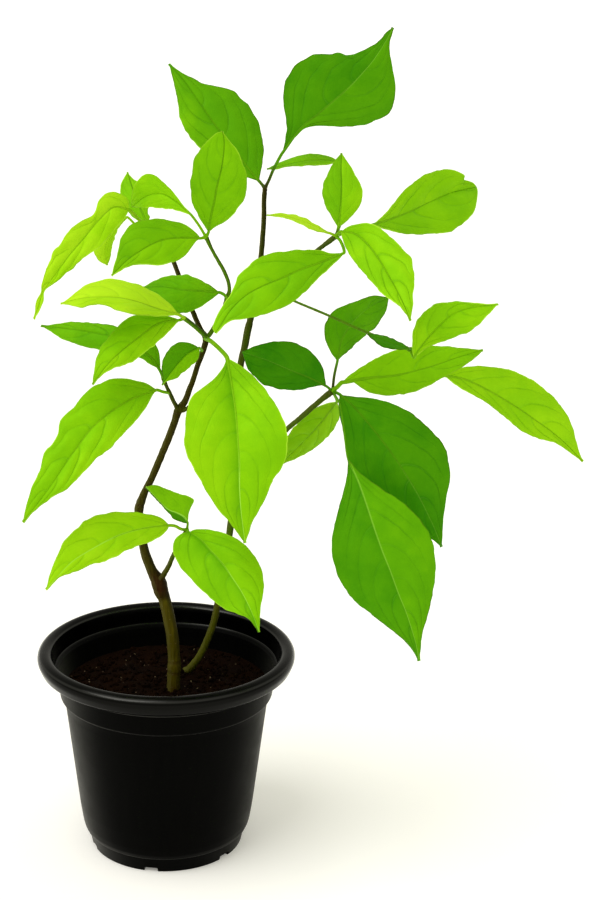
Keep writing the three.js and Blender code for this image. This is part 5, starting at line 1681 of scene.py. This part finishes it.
def shape_stalk(leaf, lay, sizes):
    """The stalk from its joint to the blade, running on under it as the raised midrib."""
    joint = at(*leaf["joint"])
    way = [at(*p) for p in leaf["stalk"]]
    free = spaced(
        smooth_path(np.vstack([joint, *way, lay.middle[0], lay.middle[3]])), np.linspace(0, 1, 60))
    until = np.argmin(np.linalg.norm(free - lay.middle[0], axis=1))
    free = free[:max(until, 2)]
    run = lay.t < RIB_END
    t, rib = lay.t[run], lay.middle[run]
    entry = np.clip(t / 0.05, 0, 1)[:, None]
    under = rib * (1 - entry) + (rib - lay.above[run] * (RIB_SINK * MM)) * entry
    line = np.vstack([free, under[::2]])
    full = sizes.stalk_radius * leaf.get("stout", 1.0) * min(1.0, 0.6 + lay.length / 0.2)
    taper = np.concatenate([np.ones(len(free)), 1 - 0.78 * t[::2]])
    swollen = 1 + 0.45 * np.exp(-(run_of(line) / (1.6 * MM)) ** 2)
    stalk = tube(line, full * taper * swollen, "stalk", 4)
    away = np.linalg.norm(read_vertices(stalk.data) - joint, axis=1)
    woody = np.clip(1 - away / (leaf.get("woody", 0.6) * MM), 0, 1) ** 0.5
    write_attribute(
        stalk.data, "look", np.stack([np.full(len(away), leaf["tone"]), 0 * away, woody], axis=1))
    coat(stalk, material_named("leaf_stalk", build_stalk))
    return stalk


class PLANT_OT_leaves(bpy.types.Operator):
    """Grow every leaf: its stalk, its midrib and its veined blade"""
    bl_idname = "plant.make_leaves"
    bl_label = "Leaves"

    def execute(self, context):
        sizes = context.scene.plant_leaves
        for leaf in LEAVES:
            sheet, lay = shape_blade(leaf, sizes)
            whole = join([sheet, shape_stalk(leaf, lay, sizes)])
            smooth_shading(whole, 70)
            node = leaf["node"]
            finish_piece(whole, node.replace("leaf", "blade"), leaf["slot"], node)
        return {"FINISHED"}


# ---------------------------------------------------------------- the stage
CAMERA_LENS = 67.8
CAMERA_SENSOR = 36
KEY_DIRECTION = (0.42, 0.25, -0.88)
KEY_SOFTNESS = math.radians(46)
KEY_COLOUR = (1.0, 0.99, 0.98)
# the light from all round is warm, and what shows behind the plant is white
ROOM_COLOUR = (1.0, 0.985, 0.87)
BACKDROP = (1.0, 1.0, 0.99)


def make_camera():
    data = bpy.data.cameras.new("picture_camera")
    data.lens = CAMERA_LENS
    data.sensor_width = CAMERA_SENSOR
    data.clip_end = 200
    camera = new_object("picture_camera", data)
    turn = Matrix([RIGHT, UP, -AHEAD]).transposed().to_4x4()
    camera.matrix_world = Matrix.Translation(Vector(VIEW_EYE)) @ turn
    bpy.context.scene.camera = camera


def make_lights(sizes):
    """Even light from all round, and one broad light from the upper left."""
    world = bpy.data.worlds.new("soft_room")
    bpy.context.scene.world = world
    world.use_nodes = True
    shade = Shade(world.node_tree)
    seen = shade.add("ShaderNodeLightPath").outputs["Is Camera Ray"]
    shade.feed(world.node_tree.nodes["Background"], {
        "Color": shade.blend(seen, ROOM_COLOUR, BACKDROP),
        "Strength": shade.ramp_up(seen, 0.0, 1.0, sizes.sky, 1.0),
    })
    key = bpy.data.lights.new("key_light", "SUN")
    key.energy = sizes.key
    key.angle = KEY_SOFTNESS
    key.color = KEY_COLOUR
    lamp = new_object("key_light", key)
    lamp.rotation_euler = Vector(KEY_DIRECTION).to_track_quat("-Z", "Y").to_euler()


class PLANT_OT_stage(bpy.types.Operator):
    """Set the pale floor, the soft light and the camera"""
    bl_idname = "plant.set_stage"
    bl_label = "Stage"

    def execute(self, context):
        sizes = context.scene.plant_stage
        make_camera()
        make_lights(sizes)
        deselect_all()
        bpy.ops.mesh.primitive_circle_add(
            vertices=96, radius=sizes.floor_radius, fill_type="NGON", location=(0, 0, 0))
        floor = bpy.context.object
        floor.name = "floor"
        coat(floor, material_named("pale_floor", build_floor))
        context.scene.view_settings.view_transform = "Standard"
        return {"FINISHED"}


class PLANT_PT_parts(bpy.types.Panel):
    bl_label = "Potted umbrella plant"
    bl_idname = "PLANT_PT_parts"
    bl_space_type = "VIEW_3D"
    bl_region_type = "UI"
    bl_category = "Plant"

    def draw(self, context):
        for maker, name, _ in MAKERS:
            box = self.layout.box()
            box.operator(maker.bl_idname)
            settings = getattr(context.scene, name)
            for key in settings.bl_rna.properties.keys():
                if key not in ("rna_type", "name"):
                    box.prop(settings, key)


MAKERS = (
    (PLANT_OT_stage, "plant_stage", StageSettings),
    (PLANT_OT_pot, "plant_pot", PotSettings),
    (PLANT_OT_soil, "plant_soil", SoilSettings),
    (PLANT_OT_stems, "plant_stems", StemSettings),
    (PLANT_OT_leaves, "plant_leaves", LeafSettings),
)


def register():
    for maker, name, group in MAKERS:
        bpy.utils.register_class(group)
        setattr(bpy.types.Scene, name, bpy.props.PointerProperty(type=group))
        bpy.utils.register_class(maker)
    bpy.utils.register_class(PLANT_PT_parts)


def unregister():
    bpy.utils.unregister_class(PLANT_PT_parts)
    for maker, name, group in reversed(MAKERS):
        bpy.utils.unregister_class(maker)
        delattr(bpy.types.Scene, name)
        bpy.utils.unregister_class(group)


def main():
    register()
    bpy.ops.plant.set_stage()
    bpy.ops.plant.make_pot()
    bpy.ops.plant.make_soil()
    bpy.ops.plant.make_stems()
    bpy.ops.plant.make_leaves()


if __name__ == "__main__":
    main()
